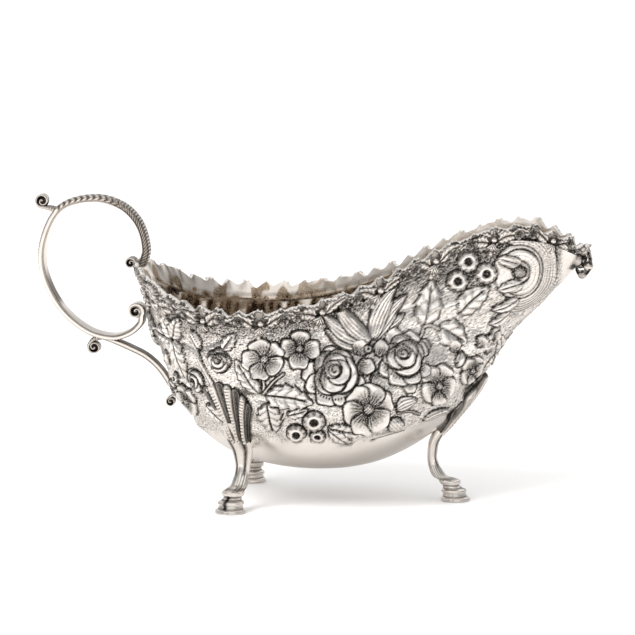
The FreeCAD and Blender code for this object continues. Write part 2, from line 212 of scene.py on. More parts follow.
def line_inside(piece, material, inner):
    """A second material on the faces whose points are all marked inner."""
    mesh = piece.data
    mesh.materials.append(material)
    points = np.empty(len(mesh.loops), int)
    starts = np.empty(len(mesh.polygons), int)
    mesh.loops.foreach_get("vertex_index", points)
    mesh.polygons.foreach_get("loop_start", starts)
    mesh.polygons.foreach_set("material_index", np.minimum.reduceat(inner[points], starts).astype(int))


def tube_faces(rows, columns, turned=False):
    """Quads between rows of a closed ring, and fans to a middle point at each end."""
    row, column = np.meshgrid(np.arange(rows - 1), np.arange(columns), indexing="ij")
    after = (column + 1) % columns
    quads = np.stack([
        row * columns + column, row * columns + after,
        (row + 1) * columns + after, (row + 1) * columns + column,
    ], -1).reshape(-1, 4)
    ring = np.arange(columns)
    ring_after = (ring + 1) % columns
    first, last = rows * columns, rows * columns + 1
    top = (rows - 1) * columns
    start_fan = np.stack([ring_after, ring, np.full(columns, first)], -1)
    end_fan = np.stack([top + ring, top + ring_after, np.full(columns, last)], -1)
    groups = [quads, start_fan, end_fan]
    return [group[:, ::-1] for group in groups] if turned else groups


def blurred(field, passes):
    """A grid that wraps round in its second direction, evened out."""
    for _ in range(passes):
        field = (np.roll(field, 1, 1) + 2 * field + np.roll(field, -1, 1)) / 4
        padded = np.concatenate([field[:1], field, field[-1:]])
        field = (padded[:-2] + 2 * padded[1:-1] + padded[2:]) / 4
    return field


# ------------------------------------------------------------ chased relief

class Relief:
    """Height in millimetres, and tarnish together with painted shade, laid motif over motif on one side
    of a surface.
    """

    def __init__(self, points, normals, ground_tone, side=RIGHT, edge=0.6, groove=0.7):
        self.points, self.normals, self.side = points, normals, side
        self.edge, self.groove = edge, groove
        self.height = np.zeros(len(points))
        self.tone = np.array(ground_tone, float)
        self.cover = np.zeros(len(points))

    def on(self, side):
        """The same relief, to be painted on the given side."""
        turned_over = copy.copy(self)
        turned_over.side = side
        return turned_over

    def near(self, place, reach):
        """Points within reach of a place (x, z), in that place's own plane: u towards
        the lip, v up the wall."""
        gap = (self.points[:, 0] - place[0]) ** 2 + (self.points[:, 2] - place[1]) ** 2
        gap[self.points[:, 1] * self.side < 0] = np.inf
        middle = self.points[gap.argmin()]
        normal = self.normals[gap.argmin()]
        up = unit(UP - normal * normal[2])
        along = np.cross(up, normal) * -self.side
        offset = self.points - middle
        facing = self.normals @ normal > 0.2
        index = np.flatnonzero((np.einsum("ij,ij->i", offset, offset) < reach**2) & facing)
        return index, offset[index] @ along, offset[index] @ up

    def stamp(self, index, inside, lift, tone=0.0):
        """Lay a shape over what is there. inside is the depth within its outline;
        round it runs a dark groove."""
        share = step(0.0, self.edge, inside)
        ditch = step(-self.groove, 0.0, inside) * (inside < self.edge)
        height, dark = self.height[index], self.tone[index]
        height = height - 0.4 * ditch * (1 - share)
        self.height[index] = height * (1 - share) + lift * share
        dark = np.maximum(dark, 0.85 * ditch**2)
        self.tone[index] = dark * (1 - share) + clip(tone, 0, 1) * share
        self.cover[index] = np.maximum(self.cover[index], step(-0.4, 0.2, inside))


def turned(u, v, degrees):
    """Coordinates along and across a direction at degrees from u towards v."""
    c, s = cos(radians(degrees)), sin(radians(degrees))
    return u * c + v * s, v * c - u * s


def petal(relief, index, u, v, turn, length, width, level, notch=0.0):
    """A cupped petal that runs out from the flower's middle."""
    p, q = turned(u, v, turn)
    p = p + notch * bell(q, 0.2 * width) * step(0.6, 1.0, p / length)
    rho = hypot((p - 0.58 * length) / (0.44 * length), q / (width / 2))
    wave = sin(5 * np.arctan2(q, p - 0.58 * length) + radians(3 * turn))
    rho = rho * (1 + 0.05 * wave * step(0.5, 1.0, rho))
    inside = (1 - rho) * min(0.44 * length, width / 2)
    root = 1 - step(0.25, 0.75, p / length)
    rib = abs(sin(np.arctan2(q, p) * 14))
    lift = level * (0.5 + 0.75 * rho**2 - 0.35 * root) - 0.14 * root * rib
    tone = 0.75 * root * rib**2 + 0.25 * root + 0.22 * (1 - rho) * step(0.2, 0.6, p / length)
    relief.stamp(index, inside, lift, tone)


def loose_petals(relief, place, reach, petals):
    """Petals that stand alone near a place. Each is the u and v of its foot, its turn,
    length, width and height."""
    index, u, v = relief.near(place, reach)
    for foot_u, foot_v, turn, length, width, level in petals:
        petal(relief, index, u - foot_u, v - foot_v, turn, length, width, level)


def flower(relief, place, radius, petals=5, turn=90, level=1.3):
    """An open flower with notched petals and a grainy heart."""
    index, u, v = relief.near(place, radius * 1.35)
    width = 2.25 * radius * sin(pi / petals)
    for k in range(petals):
        wobble = 0.06 * sin(5 * k + place[0])
        petal(
            relief, index, u, v, turn + 360 * k / petals, radius * (1 + wobble),
            min(width, radius), level, notch=0.08 * radius,
        )
    r = hypot(u, v)
    core = 0.21 * radius
    grain = sin(u * 5.2) * sin(v * 5.2)
    round_top = dome(r / core)
    relief.stamp(index, core - r, level * (0.5 + 0.55 * round_top) + 0.16 * grain,
                 0.35 - 0.5 * grain + 0.5 * (1 - round_top))


def leaf(relief, place, turn, length, width, teeth=5, bend=0.0, level=1.25):
    """A serrated leaf from its foot at place, with a sunk midrib and curved veins."""
    index, u, v = relief.near(place, length * 1.2)
    p, q = turned(u, v, turn)
    s = clip(p / length, 0, 1)
    q = q - bend * length * sin(pi * s) * 0.5
    saw = (s * teeth + 0.3) % 1.0
    half = width / 2 * sin(pi * s**0.8) ** 0.7 * (1.06 - 0.26 * saw) + 1e-3
    inside = np.minimum(half - abs(q), np.minimum(p, length - p) * 0.8)
    share = clip(abs(q) / half, 0, 1)
    lobe = s * teeth - share**1.4 * 0.9
    swell = abs(sin(pi * lobe)) ** 0.7
    vein = (1 - swell) * step(0.05, 0.2, share) * (1 - step(0.75, 1.0, share))
    midrib = bell(q, 0.1 + 0.025 * width) * (1 - step(0.8, 0.95, s))
    lift = level * (0.55 + 0.4 * sin(pi * share) + 0.13 * swell) - 0.7 * midrib
    streak = abs(sin(lobe * 9))
    veined = 0.5 * vein**1.5 + 0.28 * (1 - streak) * step(0.2, 0.8, share)
    relief.stamp(index, inside, lift, 0.9 * midrib + veined * min(1.0, width / 8))


def fan_leaf(relief, place, lobes, level=1.4):
    """Long ribbed lobes from one foot. Each lobe is turn, length, width, bend."""
    reach = max(lobe[1] for lobe in lobes) * 1.15
    index, u, v = relief.near(place, reach)
    for turn, length, width, bend in lobes:
        p, q = turned(u, v, turn)
        s = clip(p / length, 0, 1)
        q = q - bend * length * sin(pi * s) * 0.5
        half = width / 2 * sin(pi * s**0.75) ** 0.7 + 1e-3
        inside = np.minimum(half - abs(q), np.minimum(p, length - p) * 0.8)
        across = clip(q / half, -1, 1)
        ridge = abs(cos(across * pi * 2.5 + 0.6 * s))
        lift = level * (0.45 + 0.55 * (1 - across**2)) + 0.4 * (ridge - 0.5)
        relief.stamp(index, inside, lift, 0.85 * (1 - ridge) ** 1.5)


def berry(relief, place, radius, level=1.5):
    """A round fruit with a ringed hole in the middle."""
    index, u, v = relief.near(place, radius * 1.5)
    r = hypot(u, v) / radius
    ring = bell(r - 0.5, 0.14)
    hole = 1 - step(0.22, 0.42, r)
    grain = 0.5 + 0.5 * sin(np.arctan2(v, u) * 9) * step(0.55, 0.7, r)
    lift = level * sqrt(clip(1 - r**2 * 0.85, 0, 1)) + 0.25 * ring - 1.1 * hole
    relief.stamp(index, (1 - r) * radius, lift, hole + (0.2 + 0.4 * grain) * (1 - ring))


def bud(relief, place, turn, length, width, ribs=3, level=1.6):
    """A closed bud with folds along it."""
    index, u, v = relief.near(place, length)
    p, q = turned(u, v, turn)
    rho = hypot(p / (length / 2), q / (width / 2))
    ridge = abs(cos(clip(q / width * 2, -1, 1) * pi * ribs / 2))
    lift = level * sqrt(clip(1 - 0.8 * rho**2, 0, 1)) + 0.2 * ridge
    relief.stamp(index, (1 - rho) * width / 2, lift, 0.8 * (1 - ridge) ** 2)


def stem(relief, place, path, width=1.5, level=0.8):
    """A round stalk along a line of (u, v) offsets from place."""
    reach = max(hypot(u, v) for u, v in path) + 2 * width
    index, u, v = relief.near(place, reach)
    steps = linspace(0, len(path) - 1, 12 * len(path))
    us, vs = (smooth(np.arange(len(path)), column, steps) for column in np.array(path).T)
    gap = sqrt(((u[:, None] - us) ** 2 + (v[:, None] - vs) ** 2).min(1))
    lift = level * sqrt(clip(1 - (gap / width * 1.6) ** 2, 0.1, 1))
    relief.stamp(index, width / 2 - gap, lift, 0.15)


def arc_band(relief, place, radius, width, start, sweep, level, grain, squash=1.0):
    """A band bent round a place, with round ends and a raised edge, and rows of punch
    marks as strong as grain. Angles run from u towards v."""
    index, u, v = relief.near(place, radius * 1.3 + width)
    u, v = u, v / squash
    angle = np.degrees(np.arctan2(v, u))
    middle = start + sweep / 2
    off = (angle - middle + 180) % 360 - 180
    held = radians(clip(off, -sweep / 2, sweep / 2) + middle)
    gap = hypot(u - radius * cos(held), v - radius * sin(held))
    inside = width / 2 - gap
    border = bell(inside - 0.5, 0.35)
    rows = 0.5 + 0.5 * cos(2 * pi * inside / 1.05)
    dots = 0.5 + 0.5 * cos(radians(angle) * radius * 6.0)
    relief.stamp(index, inside, level + 0.25 * border - 0.1 * grain * rows,
                 grain * 0.75 * rows * (0.45 + 0.55 * dots) * (1 - border))


def disc(relief, place, radius, offset, level, turn):
    """A round petal with a raised edge, of which a crescent will stay in sight. It leaves a
    painted shadow beside it on the side it turns to, and has painted shade on its back half.
    """
    index, u, v = relief.near(place, radius * 1.4 + hypot(*offset))
    p, q = turned(u - offset[0], v - offset[1], turn)
    r = hypot(p, q) / radius
    shadow = 0.9 * step(-0.3, 0.3, radius - hypot(p - 0.09 * radius - 0.3, q))
    relief.tone[index] = np.maximum(relief.tone[index], shadow)
    shade = step(-0.2, 0.6, -p / radius) * step(0.4, 0.7, r)
    relief.stamp(index, (1 - r) * radius, level * (0.72 + 0.33 * r**4), 0.5 * shade)


# A rose's petals from the outermost in: radius and shift as shares of the rose's
# radius, the direction of the shift from its turn, and the height.
ROSE_PETALS = (
    (0.58, 0.42, 170, 1.3), (0.60, 0.40, 95, 1.5), (0.60, 0.40, -95, 1.5), (0.76, 0.24, 10, 1.9),
    (0.54, 0.30, -70, 2.1), (0.50, 0.27, 125, 2.2), (0.50, 0.14, 20, 2.5), (0.36, 0.14, 175, 2.6),
)


def rose(relief, place, radius, turn=0, frills=()):
    """An open rose: flat outer petals (turn, length, width), wrapped petals of which
    crescents show, and a wound heart."""
    index, u, v = relief.near(place, radius * 2)
    for angle, length, width in frills:
        petal(relief, index, u, v, angle, length, width, 1.1, notch=0.6)
    for share, shift, way, level in ROSE_PETALS:
        way = radians(turn + way)
        offset = (shift * radius * cos(way), shift * radius * sin(way))
        disc(relief, place, radius * share, offset, level, turn)
    heart = radius * 0.25
    back = radians(turn)
    r = hypot(u + 0.05 * radius * cos(back), v + 0.05 * radius * sin(back))
    wind = (np.arctan2(v, u) / (2 * pi) + r / heart * 1.1) % 1.0
    ridge = sin(pi * wind) ** 0.6
    relief.stamp(index, heart - r, 2.3 + 0.6 * ridge, 1.1 * (1 - ridge) + 0.35 * (1 - r / heart))


def fur(relief, place, radius, turn, sweep, length=1.6):
    """Short radial cuts round a rose, where its crescents lie on the frilled petals."""
    index, u, v = relief.near(place, radius + 3 * length)
    r, angle = hypot(u, v), np.degrees(np.arctan2(v, u))
    off = abs((angle - turn + 180) % 360 - 180)
    ring = step(radius, radius + 0.3, r) * (1 - step(radius + 0.3, radius + length, r))
    cut = 0.5 + 0.5 * sin(radians(angle) * radius * 5.5)
    relief.tone[index] = np.maximum(relief.tone[index], 0.9 * cut * ring * (off < sweep / 2))


# The chasing on each side, from the lip's scroll to the handle, in the order in which
# one motif is laid over another. Places are (x, z) on the bowl seen from the side.

def paint_spout(relief):
    """A C-scroll that opens to the rear, with leaf tips that run down from it."""
    eye = (85.0, 97.2)
    index, u, v = relief.near(eye, 12.0)
    relief.stamp(index, 10.6 - hypot(u, v / 1.1), 0.7, 0.16)
    arc_band(relief, eye, 13.2, 6.4, -100, 200, 0.9, 1.0, squash=1.1)
    for x, z, turn, length in ((77.0, 75.0, 226, 9), (80.8, 80.6, 216, 10), (84.0, 86.6, 210, 12)):
        leaf(relief, (x, z), turn, length, 5.8, teeth=1, bend=0.2, level=1.7)
    arc_band(relief, eye, 6.4, 4.4, -120, 240, 1.5, 0.5, squash=1.1)
    for z, turn in ((100.4, 166), (93.0, 198)):
        leaf(relief, (85.5, z), turn, 10.5, 6.2, teeth=1, level=1.8)
    index, u, v = relief.near(eye, 8.0)
    rho = hypot(u / 3.0, v / 2.6)
    relief.stamp(index, (1 - rho) * 2.6, 1.4 * dome(rho) + 0.5, 0.35 + 0.3 * rho)


def paint_front(relief):
    """Two sprays of ribbed leaves, serrated leaves, berries and the front flowers."""
    fan_leaf(relief, (26.4, 69.6),
             ((163, 20.0, 7.5, 0.24), (150, 23.5, 8.0, 0.14), (134, 23.0, 7.5, 0.06)), level=1.8)
    fan_leaf(relief, (27.0, 70.5),
             ((38, 17.0, 7.0, 0.06), (52, 23.0, 7.5, 0.12), (66, 24.5, 7.5, 0.16)), level=1.8)
    leaf(relief, (47.0, 75.2), 80, 19.5, 11.5, teeth=4, bend=-0.06)
    leaf(relief, (60.5, 80.5), 42, 16.5, 11, teeth=4, bend=0.1)
    leaf(relief, (52.6, 75.4), -30, 14, 12.5, teeth=3)
    for x, z in ((60.5, 94.0), (65.0, 101.5), (72.0, 96.5)):
        berry(relief, (x, z), 4.6)
    stem(relief, (47.0, 75.4), ((0, 0), (-1.5, -4), (-6, -7)))
    stem(relief, (47.0, 75.4), ((0, 0), (3, 0.5), (6, -1)))
    for x, z, turn in ((69.5, 66, 55), (74.5, 70, 10), (73, 62, 100), (67, 60, 160), (62, 63.5, 90)):
        loose_petals(relief, (x, z), 7, ((-3, 0, turn, 6.5, 5.2, 1.5),))
    flower(relief, (66.0, 56.5), 7.0, turn=70)
    flower(relief, (52.7, 52.2), 8.8, turn=63, level=1.5)
    bud(relief, (61, 62), 70, 7, 4.5, ribs=2)


def paint_middle(relief):
    """The two large roses, the flower below them and what grows round them."""
    leaf(relief, (9.8, 36.6), -12, 17, 6.5, teeth=6)
    leaf(relief, (10.2, 35.6), -38, 13, 6.0)
    fan_leaf(relief, (36.6, 43.0), ((26, 9.5, 6.5, 0.1),), level=1.3)
    stem(relief, (37.5, 41.5), ((0, 0), (5, 0.5), (10, -1.5)), width=1.2)
    fan_leaf(relief, (46.6, 38.0), ((18, 13, 5.0, 0.15),), level=1.3)
    for x, z, turn in ((46.5, 67.5, 10), (46.5, 60, -30), (43.5, 55.5, -80)):
        loose_petals(relief, (x, z), 7, ((-2.5, 0, turn, 6.0, 5.6, 1.3),))
    loose_petals(relief, (24.5, 62.0), 9, (
        (-4, 2, 60, 7.5, 7.5, 1.6), (-4.5, -0.5, -15, 8.5, 7.0, 1.7), (3, -3, -60, 7.5, 8.0, 1.2),
    ))
    rose(relief, (39.2, 64.4), 8.6, turn=-80, frills=(
        (-140, 12.5, 8), (-105, 13, 9), (-70, 12.5, 8), (60, 11, 8), (110, 12, 8), (15, 11, 7),
    ))
    fur(relief, (39.2, 64.4), 8.8, -100, 120)
    loose_petals(relief, (29.4, 66.0), 7, ((0, -3.8, 78, 8.5, 6.2, 2.0),))
    rose(relief, (12.6, 58.6), 9.8, turn=-35, frills=(
        (180, 13.5, 9), (-150, 13.5, 8), (-110, 14, 10), (-75, 14, 8), (-35, 15, 10), (100, 11, 8),
    ))
    fur(relief, (12.6, 58.6), 10.0, -80, 150)
    berry(relief, (25.4, 66.9), 1.9)
    flower(relief, (25.7, 44.3), 10.6, petals=6, turn=15, level=1.7)
    bud(relief, (36.2, 36.6), -40, 8, 7, ribs=6)
    for x, z, size in ((5.6, 32.4, 3.4), (-2.4, 33.8, 4.2), (4.5, 38.8, 4.8)):
        berry(relief, (x, z), size)


def paint_rear(relief):
    """The flowers and leaves from the middle of the side to the back."""
    leaf(relief, (-13.8, 46.8), -84, 14.5, 11.0, level=1.3)
    leaf(relief, (-6.0, 41.5), 15, 9, 5.5, teeth=3)
    leaf(relief, (-16.8, 49.9), 126, 17, 8.0, bend=0.05)
    leaf(relief, (-14.6, 49.6), -11, 19.5, 10.5, bend=0.1)
    stem(relief, (-15.6, 49.8), ((0, 0), (0.5, 4), (-0.5, 8)))
    stem(relief, (-15.6, 49.8), ((0, 0), (4, 5), (8, 8)))
    flower(relief, (-1.6, 68.0), 8.4, petals=4, turn=85, level=1.6)
    flower(relief, (-15.2, 63.9), 8.8, turn=40, level=1.5)
    leaf(relief, (-31.0, 67.5), 55, 8.5, 6.5, teeth=4)
    rose(relief, (-33.0, 63.6), 5.4, turn=-100)
    bud(relief, (-43.0, 70.5), -60, 9, 4.5)
    stem(relief, (-35.5, 52.0), ((0, 0), (-4, 9), (-9.5, 19)), width=2.2, level=1.1)
    for turn, length, width in ((165, 13, 8.5), (110, 12, 7.5), (55, 12, 8), (-78, 19, 11)):
        leaf(relief, (-53.8, 69.4), turn, length, width, level=1.4)
    rose(relief, (-43.8, 53.2), 5.6, turn=20)
    flower(relief, (-48.4, 43.6), 7.4, turn=30)
    berry(relief, (-53.8, 52.5), 2.6)
    leaf(relief, (-40.0, 44.0), -50, 12, 7, teeth=4)
    bud(relief, (-57.5, 60.5), 80, 7, 5)


def paint_back(relief):
    """A flower with leaves and buds on the end of the bowl, under the handle's loop."""
    middle = (-66.6, 77.0)
    for turn, length in ((-20, 17), (200, 17), (-62, 16), (242, 16), (30, 13), (150, 13)):
        leaf(relief, middle, turn, length, 7.5, level=1.4)
    flower(relief, middle, 7.5, turn=90, level=1.6)
    for side in (RIGHT, LEFT):
        flower(relief.on(side), (-54.5, 46.5), 5.5, turn=60)
        bud(relief.on(side), (-58.2, 88.0), 100, 8, 5)


def paint_prow(relief):
    """A flower with leaves on the end of the bowl, between the front leg and the lip."""
    middle = (75.0, 61.5)
    for turn, length in ((90, 12), (42, 14), (138, 14), (-35, 12), (215, 12)):
        leaf(relief, middle, turn, length, 7.0, level=0.5)
    flower(relief, middle, 6.0, turn=90, level=0.9)


def paint_side(relief):
    paint_spout(relief)
    paint_front(relief)
    paint_middle(relief)
    paint_rear(relief)


# The bowl's mesh: points round it, and rows below the chasing, over it and inside.
COLUMNS = 800
PLAIN_ROWS, CHASED_ROWS, INNER_ROWS = 18, 200, 150
# The sheet's slow swell: how often its noise is evened out, and its height.
SWELL_PASSES, SWELL_HEIGHT = 160, 0.55
SHEET_SEED, BORDER_SEED, STAIN_SEED = 7, 11, 5


def bowl_grid():
    """Angles and stations of the outside's points: coarse below, fine where it is chased."""
    even = np.arange(COLUMNS) * 2 * pi / COLUMNS
    angle = even + 0.2 * sin(2 * even)
    rim = rim_station(angle)
    plain = linspace(0, CHASED_FROM, PLAIN_ROWS, endpoint=False)[:, None] + 0 * angle
    share = linspace(0, 1, CHASED_ROWS)[:, None]
    chased = CHASED_FROM + (rim - CHASED_FROM) * share
    stations = np.concatenate([plain, chased])
    return np.broadcast_to(angle, stations.shape), stations


def chased_ground(length, height):
    """Where the bowl is chased, from 0 to 1, its tarnish before any motif is laid on it,
    with painted shade on the wall below the border, and where it may darken at all: not on
    the plain bottom, the lip or the line between."""
    plain_below = 28.5 + 8 * step(20, 60, length)
    chased = step(plain_below - 1, plain_below + 4, height) * (1 - step(99, 103, length))
    lip = step(97, 102, length)
    # Painted shade on the wall under the flaring border: deeper, and darker, along the spout.
    shade_depth = 9.0 + 12.0 * step(25, 75, length)
    under_border = 1 - step(0.05, 1.0, (rim_height(length) - height) / shade_depth)
    shade = 0.46 + 0.16 * step(50, 85, length)
    seam = bell(height - plain_below - 1.2, 0.3) * (length < 40)
    ground = chased * (0.11 + shade * under_border) + 0.6 * seam + 0.10 * lip
    return chased, ground, np.max([chased, seam, lip], 0)


def bowl_inside(length, depth, lift, chased):
    """How far the inner wall stands in from the sheet's middle form, and its tarnish:
    the chasing's hollow side, evened out, with stained arches below the border."""
    wave = 0.30 * length + 1.3 * sin(0.13 * length) + 0.5 * sin(0.41 * length)
    lobes = abs(sin(wave))
    folds = 0.75 + 0.25 * cos(1.7 * length)
    near_edge = step(1.5, 5.0, depth) * (1 - step(8.0, 13.0, depth))
    arch = step(-0.5, 2.0, depth - 2.4 * (1 - lobes)) * step(0.1, 0.7, lobes)
    arch = arch * (1 - step(4.0, 12.0, depth))
    ridges = 0.8 * (1 - lobes**2) * near_edge
    tone = (0.08 + 0.28 * step(0.5, 2.5, lift)) * chased + 0.75 * arch * folds
    return lift - ridges - WALL, np.maximum(tone, 0.5 * (1 - step(0.2, 1.2, depth)))


def make_bowl(material, inside_material):
    angle, station = bowl_grid()
    base, normal = bowl_point(angle, station), bowl_normal(angle, station)
    rows, columns = angle.shape
    length, height = base[..., 0], base[..., 2]
    chased, ground, may_darken = chased_ground(length, height)

    random = np.random.default_rng(SHEET_SEED)
    swell = blurred(random.normal(0, 1, angle.shape), SWELL_PASSES)
    swell *= SWELL_HEIGHT / swell.std()
    relief = Relief(base.reshape(-1, 3), normal.reshape(-1, 3), ground.reshape(-1))
    paint_back(relief)
    paint_prow(relief)
    for side in (RIGHT, LEFT):
        paint_side(relief.on(side))
    lift, tone, cover = (
        values.reshape(rows, columns) for values in (relief.height, relief.tone, relief.cover)
    )

    grain = random.normal(0, 1, lift.shape)
    matted = (1 - cover) * chased
    cushion = 1.1 * blurred(cover, 30) * (1 - 0.6 * step(45, 80, length))
    lift = blurred(lift, 1) + (0.06 * matted + 0.010 * chased) * grain + (swell + cushion) * chased
    hollow = clip(blurred(lift, 12) - lift, 0, 1)
    speckle = random.normal(0, 1, lift.shape)
    tone = tone + 0.34 * hollow * chased + (0.20 * matted + 0.03 * chased) * speckle
    tone = clip(tone, 0, 1) * np.maximum(may_darken, cover * 0.8)
    outside = base + normal * lift[..., None]

    pick = linspace(rows - 1, 0, INNER_ROWS).round().astype(int)
    depth = (rim_height(length) - height)[pick]
    followed = np.minimum(0.9 * blurred(lift, 4), lift + 0.3)[pick]
    reach, inside_tone = bowl_inside(length[pick], depth, followed, chased[pick])
    inside = base[pick] + normal[pick] * reach[..., None]
    solid = Solid()
    solid.add_rings(np.concatenate([outside, inside]), np.concatenate([tone, inside_tone]))
    bowl = solid.build("Bowl", material, "bowl")
    line_inside(bowl, inside_material, np.arange(len(bowl.data.vertices)) >= rows * columns)


# ------------------------------------------------------------ small castings

def knob(solid, centre, along, across, out, tone=0.0, groove=0.0, rings=9, columns=16):
    """A rounded bead or petal with half axes along, across and out, and a groove down it."""
    polar = linspace(0.06, pi - 0.06, rings)[:, None]
    turn = linspace(0, 2 * pi, columns, endpoint=False)[None, :]
    u, v, w = cos(polar) + 0 * turn, sin(polar) * cos(turn), sin(polar) * sin(turn)
    cut = bell(v, 0.22) * (w > 0) * groove
    w = w - cut * 0.5
    points = centre + u[..., None] * along + v[..., None] * across + w[..., None] * out
    solid.add_rings(points, clip(tone + cut, 0, 1) + 0 * u, turned=True)


def floret(solid, centre, down, across, out, size):
    """A drop of three petals between two beads."""
    up = -down
    knob(solid, centre + up * 0.9 * size, up * 0.5 * size, across * 0.6 * size, out * 0.5 * size, 0.1)
    for lean in (-0.75, 0.75, 0.0):
        way = unit(down * cos(lean) + across * sin(lean))
        side = np.cross(out, way)
        knob(solid, centre + way * 0.55 * size, way * 0.8 * size, side * 0.36 * size,
             out * 0.55 * size, 0.05, groove=0.8)
    knob(solid, centre + down * 1.65 * size, down * 0.45 * size, across * 0.4 * size,
         out * 0.45 * size, 0.15)


# ------------------------------------------------------------------- border

BORDER_TALL, BORDER_FLARE, BORDER_THICK = 7.2, 3.2, 1.3
SCALLOP_DEPTH, SCALLOP_PITCH = 1.9, 8.4
# A floret hangs under each third point of the border.
FLORET_EVERY = 3
# The border stands higher round the back and lower at the lip, and its left half lower
# along the spout.
REAR_RISE, LIP_DROP, LEFT_DROP = 2.8, 2.9, 1.8
# Its mesh: the step along it, how far its foot reaches below the bowl's edge, and rows.
BORDER_STEP, FOOT_BELOW = 0.36, 0.9
OUTER_ROWS, INNER_FACE_ROWS = 26, 20
FOOT_THICK = 1.12 * WALL


def border_line(side):
    """Angles along one half of the bowl's edge, evenly spaced along the border's crest."""
    angle = side * linspace(0, pi, 1600)
    foot, outward = edge_frame(angle)
    crest = foot + outward * BORDER_FLARE
    gaps = np.linalg.norm(np.diff(crest, axis=0), axis=1)
    length = np.concatenate([[0], np.cumsum(gaps)])
    places = np.arange(0, length[-1], BORDER_STEP)
    return np.interp(places, length, angle), places, length[-1]


def edge_frame(angle):
    """The bowl's edge and its outward direction in plan."""
    station = rim_station(angle)
    around = bowl_around(angle, station)
    outward = unit(np.stack([around[:, 1], -around[:, 0], 0 * angle], -1))
    return bowl_point(angle, station), outward


def crest_height(length, pitch, along, side):
    """The border's top: points with hollows between, of which each second one is split
    into a pair of tips."""
    near = abs((length / pitch + 0.5) % 1.0 - 0.5) * pitch
    hollow = sin(pi * clip(near / pitch, 0, 0.5)) ** 0.85
    paired = cos(pi * length / pitch) > 0
    tips = paired * (bell(near - 0.9, 0.4) - 0.8 * bell(near, 0.5))
    uneven = 0.45 * sin(length * 0.83) + 0.4 * sin(length * 0.37 + 1)
    rear = REAR_RISE * (1 - step(-72, -25, along))
    lip = LIP_DROP * step(88, 110, along) + (side > 0) * LEFT_DROP * step(-10, 40, along)
    return BORDER_TALL + rear - lip - SCALLOP_DEPTH * hollow + 0.7 * tips + uneven * (0.3 + hollow)


# The leaves on each hand of a floret: the distance to their foot, its height, their
# length and width.
BORDER_LEAVES = ((7.0, 1.6, 7.5, 5.0), (0.5, 3.4, 8.5, 5.0), (1.5, 0.4, 10.0, 6.0))
BORDER_LEVEL = 2.3


def paint_border(relief, total, pitch):
    """On the border laid out flat: toothed leaves that run both ways from each floret,
    with small flowers strewn between."""
    random = np.random.default_rng(BORDER_SEED)
    for number in range(int(total / (FLORET_EVERY * pitch)) + 1):
        middle = number * FLORET_EVERY * pitch
        for hand in (-1, 1):
            for away, rise, long, width in BORDER_LEAVES:
                lean = random.uniform(6, 32)
                start = middle + hand * (away + random.uniform(0.0, 1.5))
                leaf(relief, (start, rise), lean if hand > 0 else 180 - lean,
                     long * random.uniform(0.85, 1.15), width, bend=hand * 0.2, level=BORDER_LEVEL)
            bloom = (middle + hand * random.uniform(8.0, 11.5), random.uniform(1.2, 2.8))
            size, turn = random.uniform(2.2, 2.8), random.uniform(0, 72)
            flower(relief, bloom, size, turn=turn, level=BORDER_LEVEL)


def border_face(length, rise, crest, total, pitch, side):
    """Lift and tarnish of the border's outer face: its leaves and a notched bead on top, and painted
    shade low on the face, under its flare.
    """
    flat = np.stack([length[:, None] + 0 * rise, 0 * rise + side, rise], -1).reshape(-1, 3)
    face = np.broadcast_to(np.array([0.0, side, 0.0]), flat.shape)
    # Painted shade: the ground is darker near the foot, under the flare.
    ground = 0.80 - 0.45 * step(1.5, 4.5, flat[:, 2])
    relief = Relief(flat, face, ground, side, edge=0.45, groove=0.45)
    paint_border(relief, total, pitch)
    notched = 0.8 + 0.25 * sin(flat[:, 0] * 4.1)
    below_crest = np.repeat(crest, OUTER_ROWS) - flat[:, 2]
    relief.stamp(np.arange(len(flat)), notched - below_crest, 1.8, 0.05)
    to_top = step(0, 0.08, 1 - linspace(0, 1, OUTER_ROWS))
    return relief.height.reshape(rise.shape) * to_top + 0.25, relief.tone.reshape(rise.shape)


def border_back(length, rise, pitch, along):
    """Lift and tarnish of the border's inner face: soft lobes at its foot, and stains."""
    length = length[:, None] + 0 * rise
    lobes = abs(sin(pi * length / (0.9 * pitch) + 0.8 * sin(length * 0.31))) ** 0.5
    low = 1 - step(0.5, 3.4, rise + 0.6 * lobes)
    thick = FOOT_THICK + (BORDER_THICK - FOOT_THICK) * step(0, 4, rise)
    cloud = blurred(np.random.default_rng(STAIN_SEED).normal(0, 1, lobes.shape), 40)
    rearward = 1 - step(-30, 20, along[:, None])
    stain = (0.35 + 0.65 * rearward) * step(0.0, 0.9, cloud / cloud.std() - 0.28 * (rise - 3.0))
    tone = 0.03 + 0.3 * low * (1 - lobes) + 0.1 * low + 0.4 * stain
    seam = 0.6 * (1 - step(-0.6, 1.0, rise))
    return 0.45 * low * lobes * step(0, 1, rise) - thick, np.maximum(tone, seam)


def add_florets(solid, angle, length, foot, total, pitch):
    """Florets that hang under the border's points, on the bowl."""
    for number in range(0, int(total / pitch) + 1, FLORET_EVERY):
        here = min(np.searchsorted(length, number * pitch), len(angle) - 1)
        station = rim_station(angle[here : here + 1])
        out = bowl_normal(angle[here : here + 1], station)[0]
        below = bowl_point(angle[here : here + 1], station - 0.4)[0]
        down = unit(below - foot[here])
        size = 2.5 + 0.3 * sin(number * 1.7)
        floret(solid, foot[here] + out * 1.5 + down * 0.4, down, np.cross(out, down), out, size)


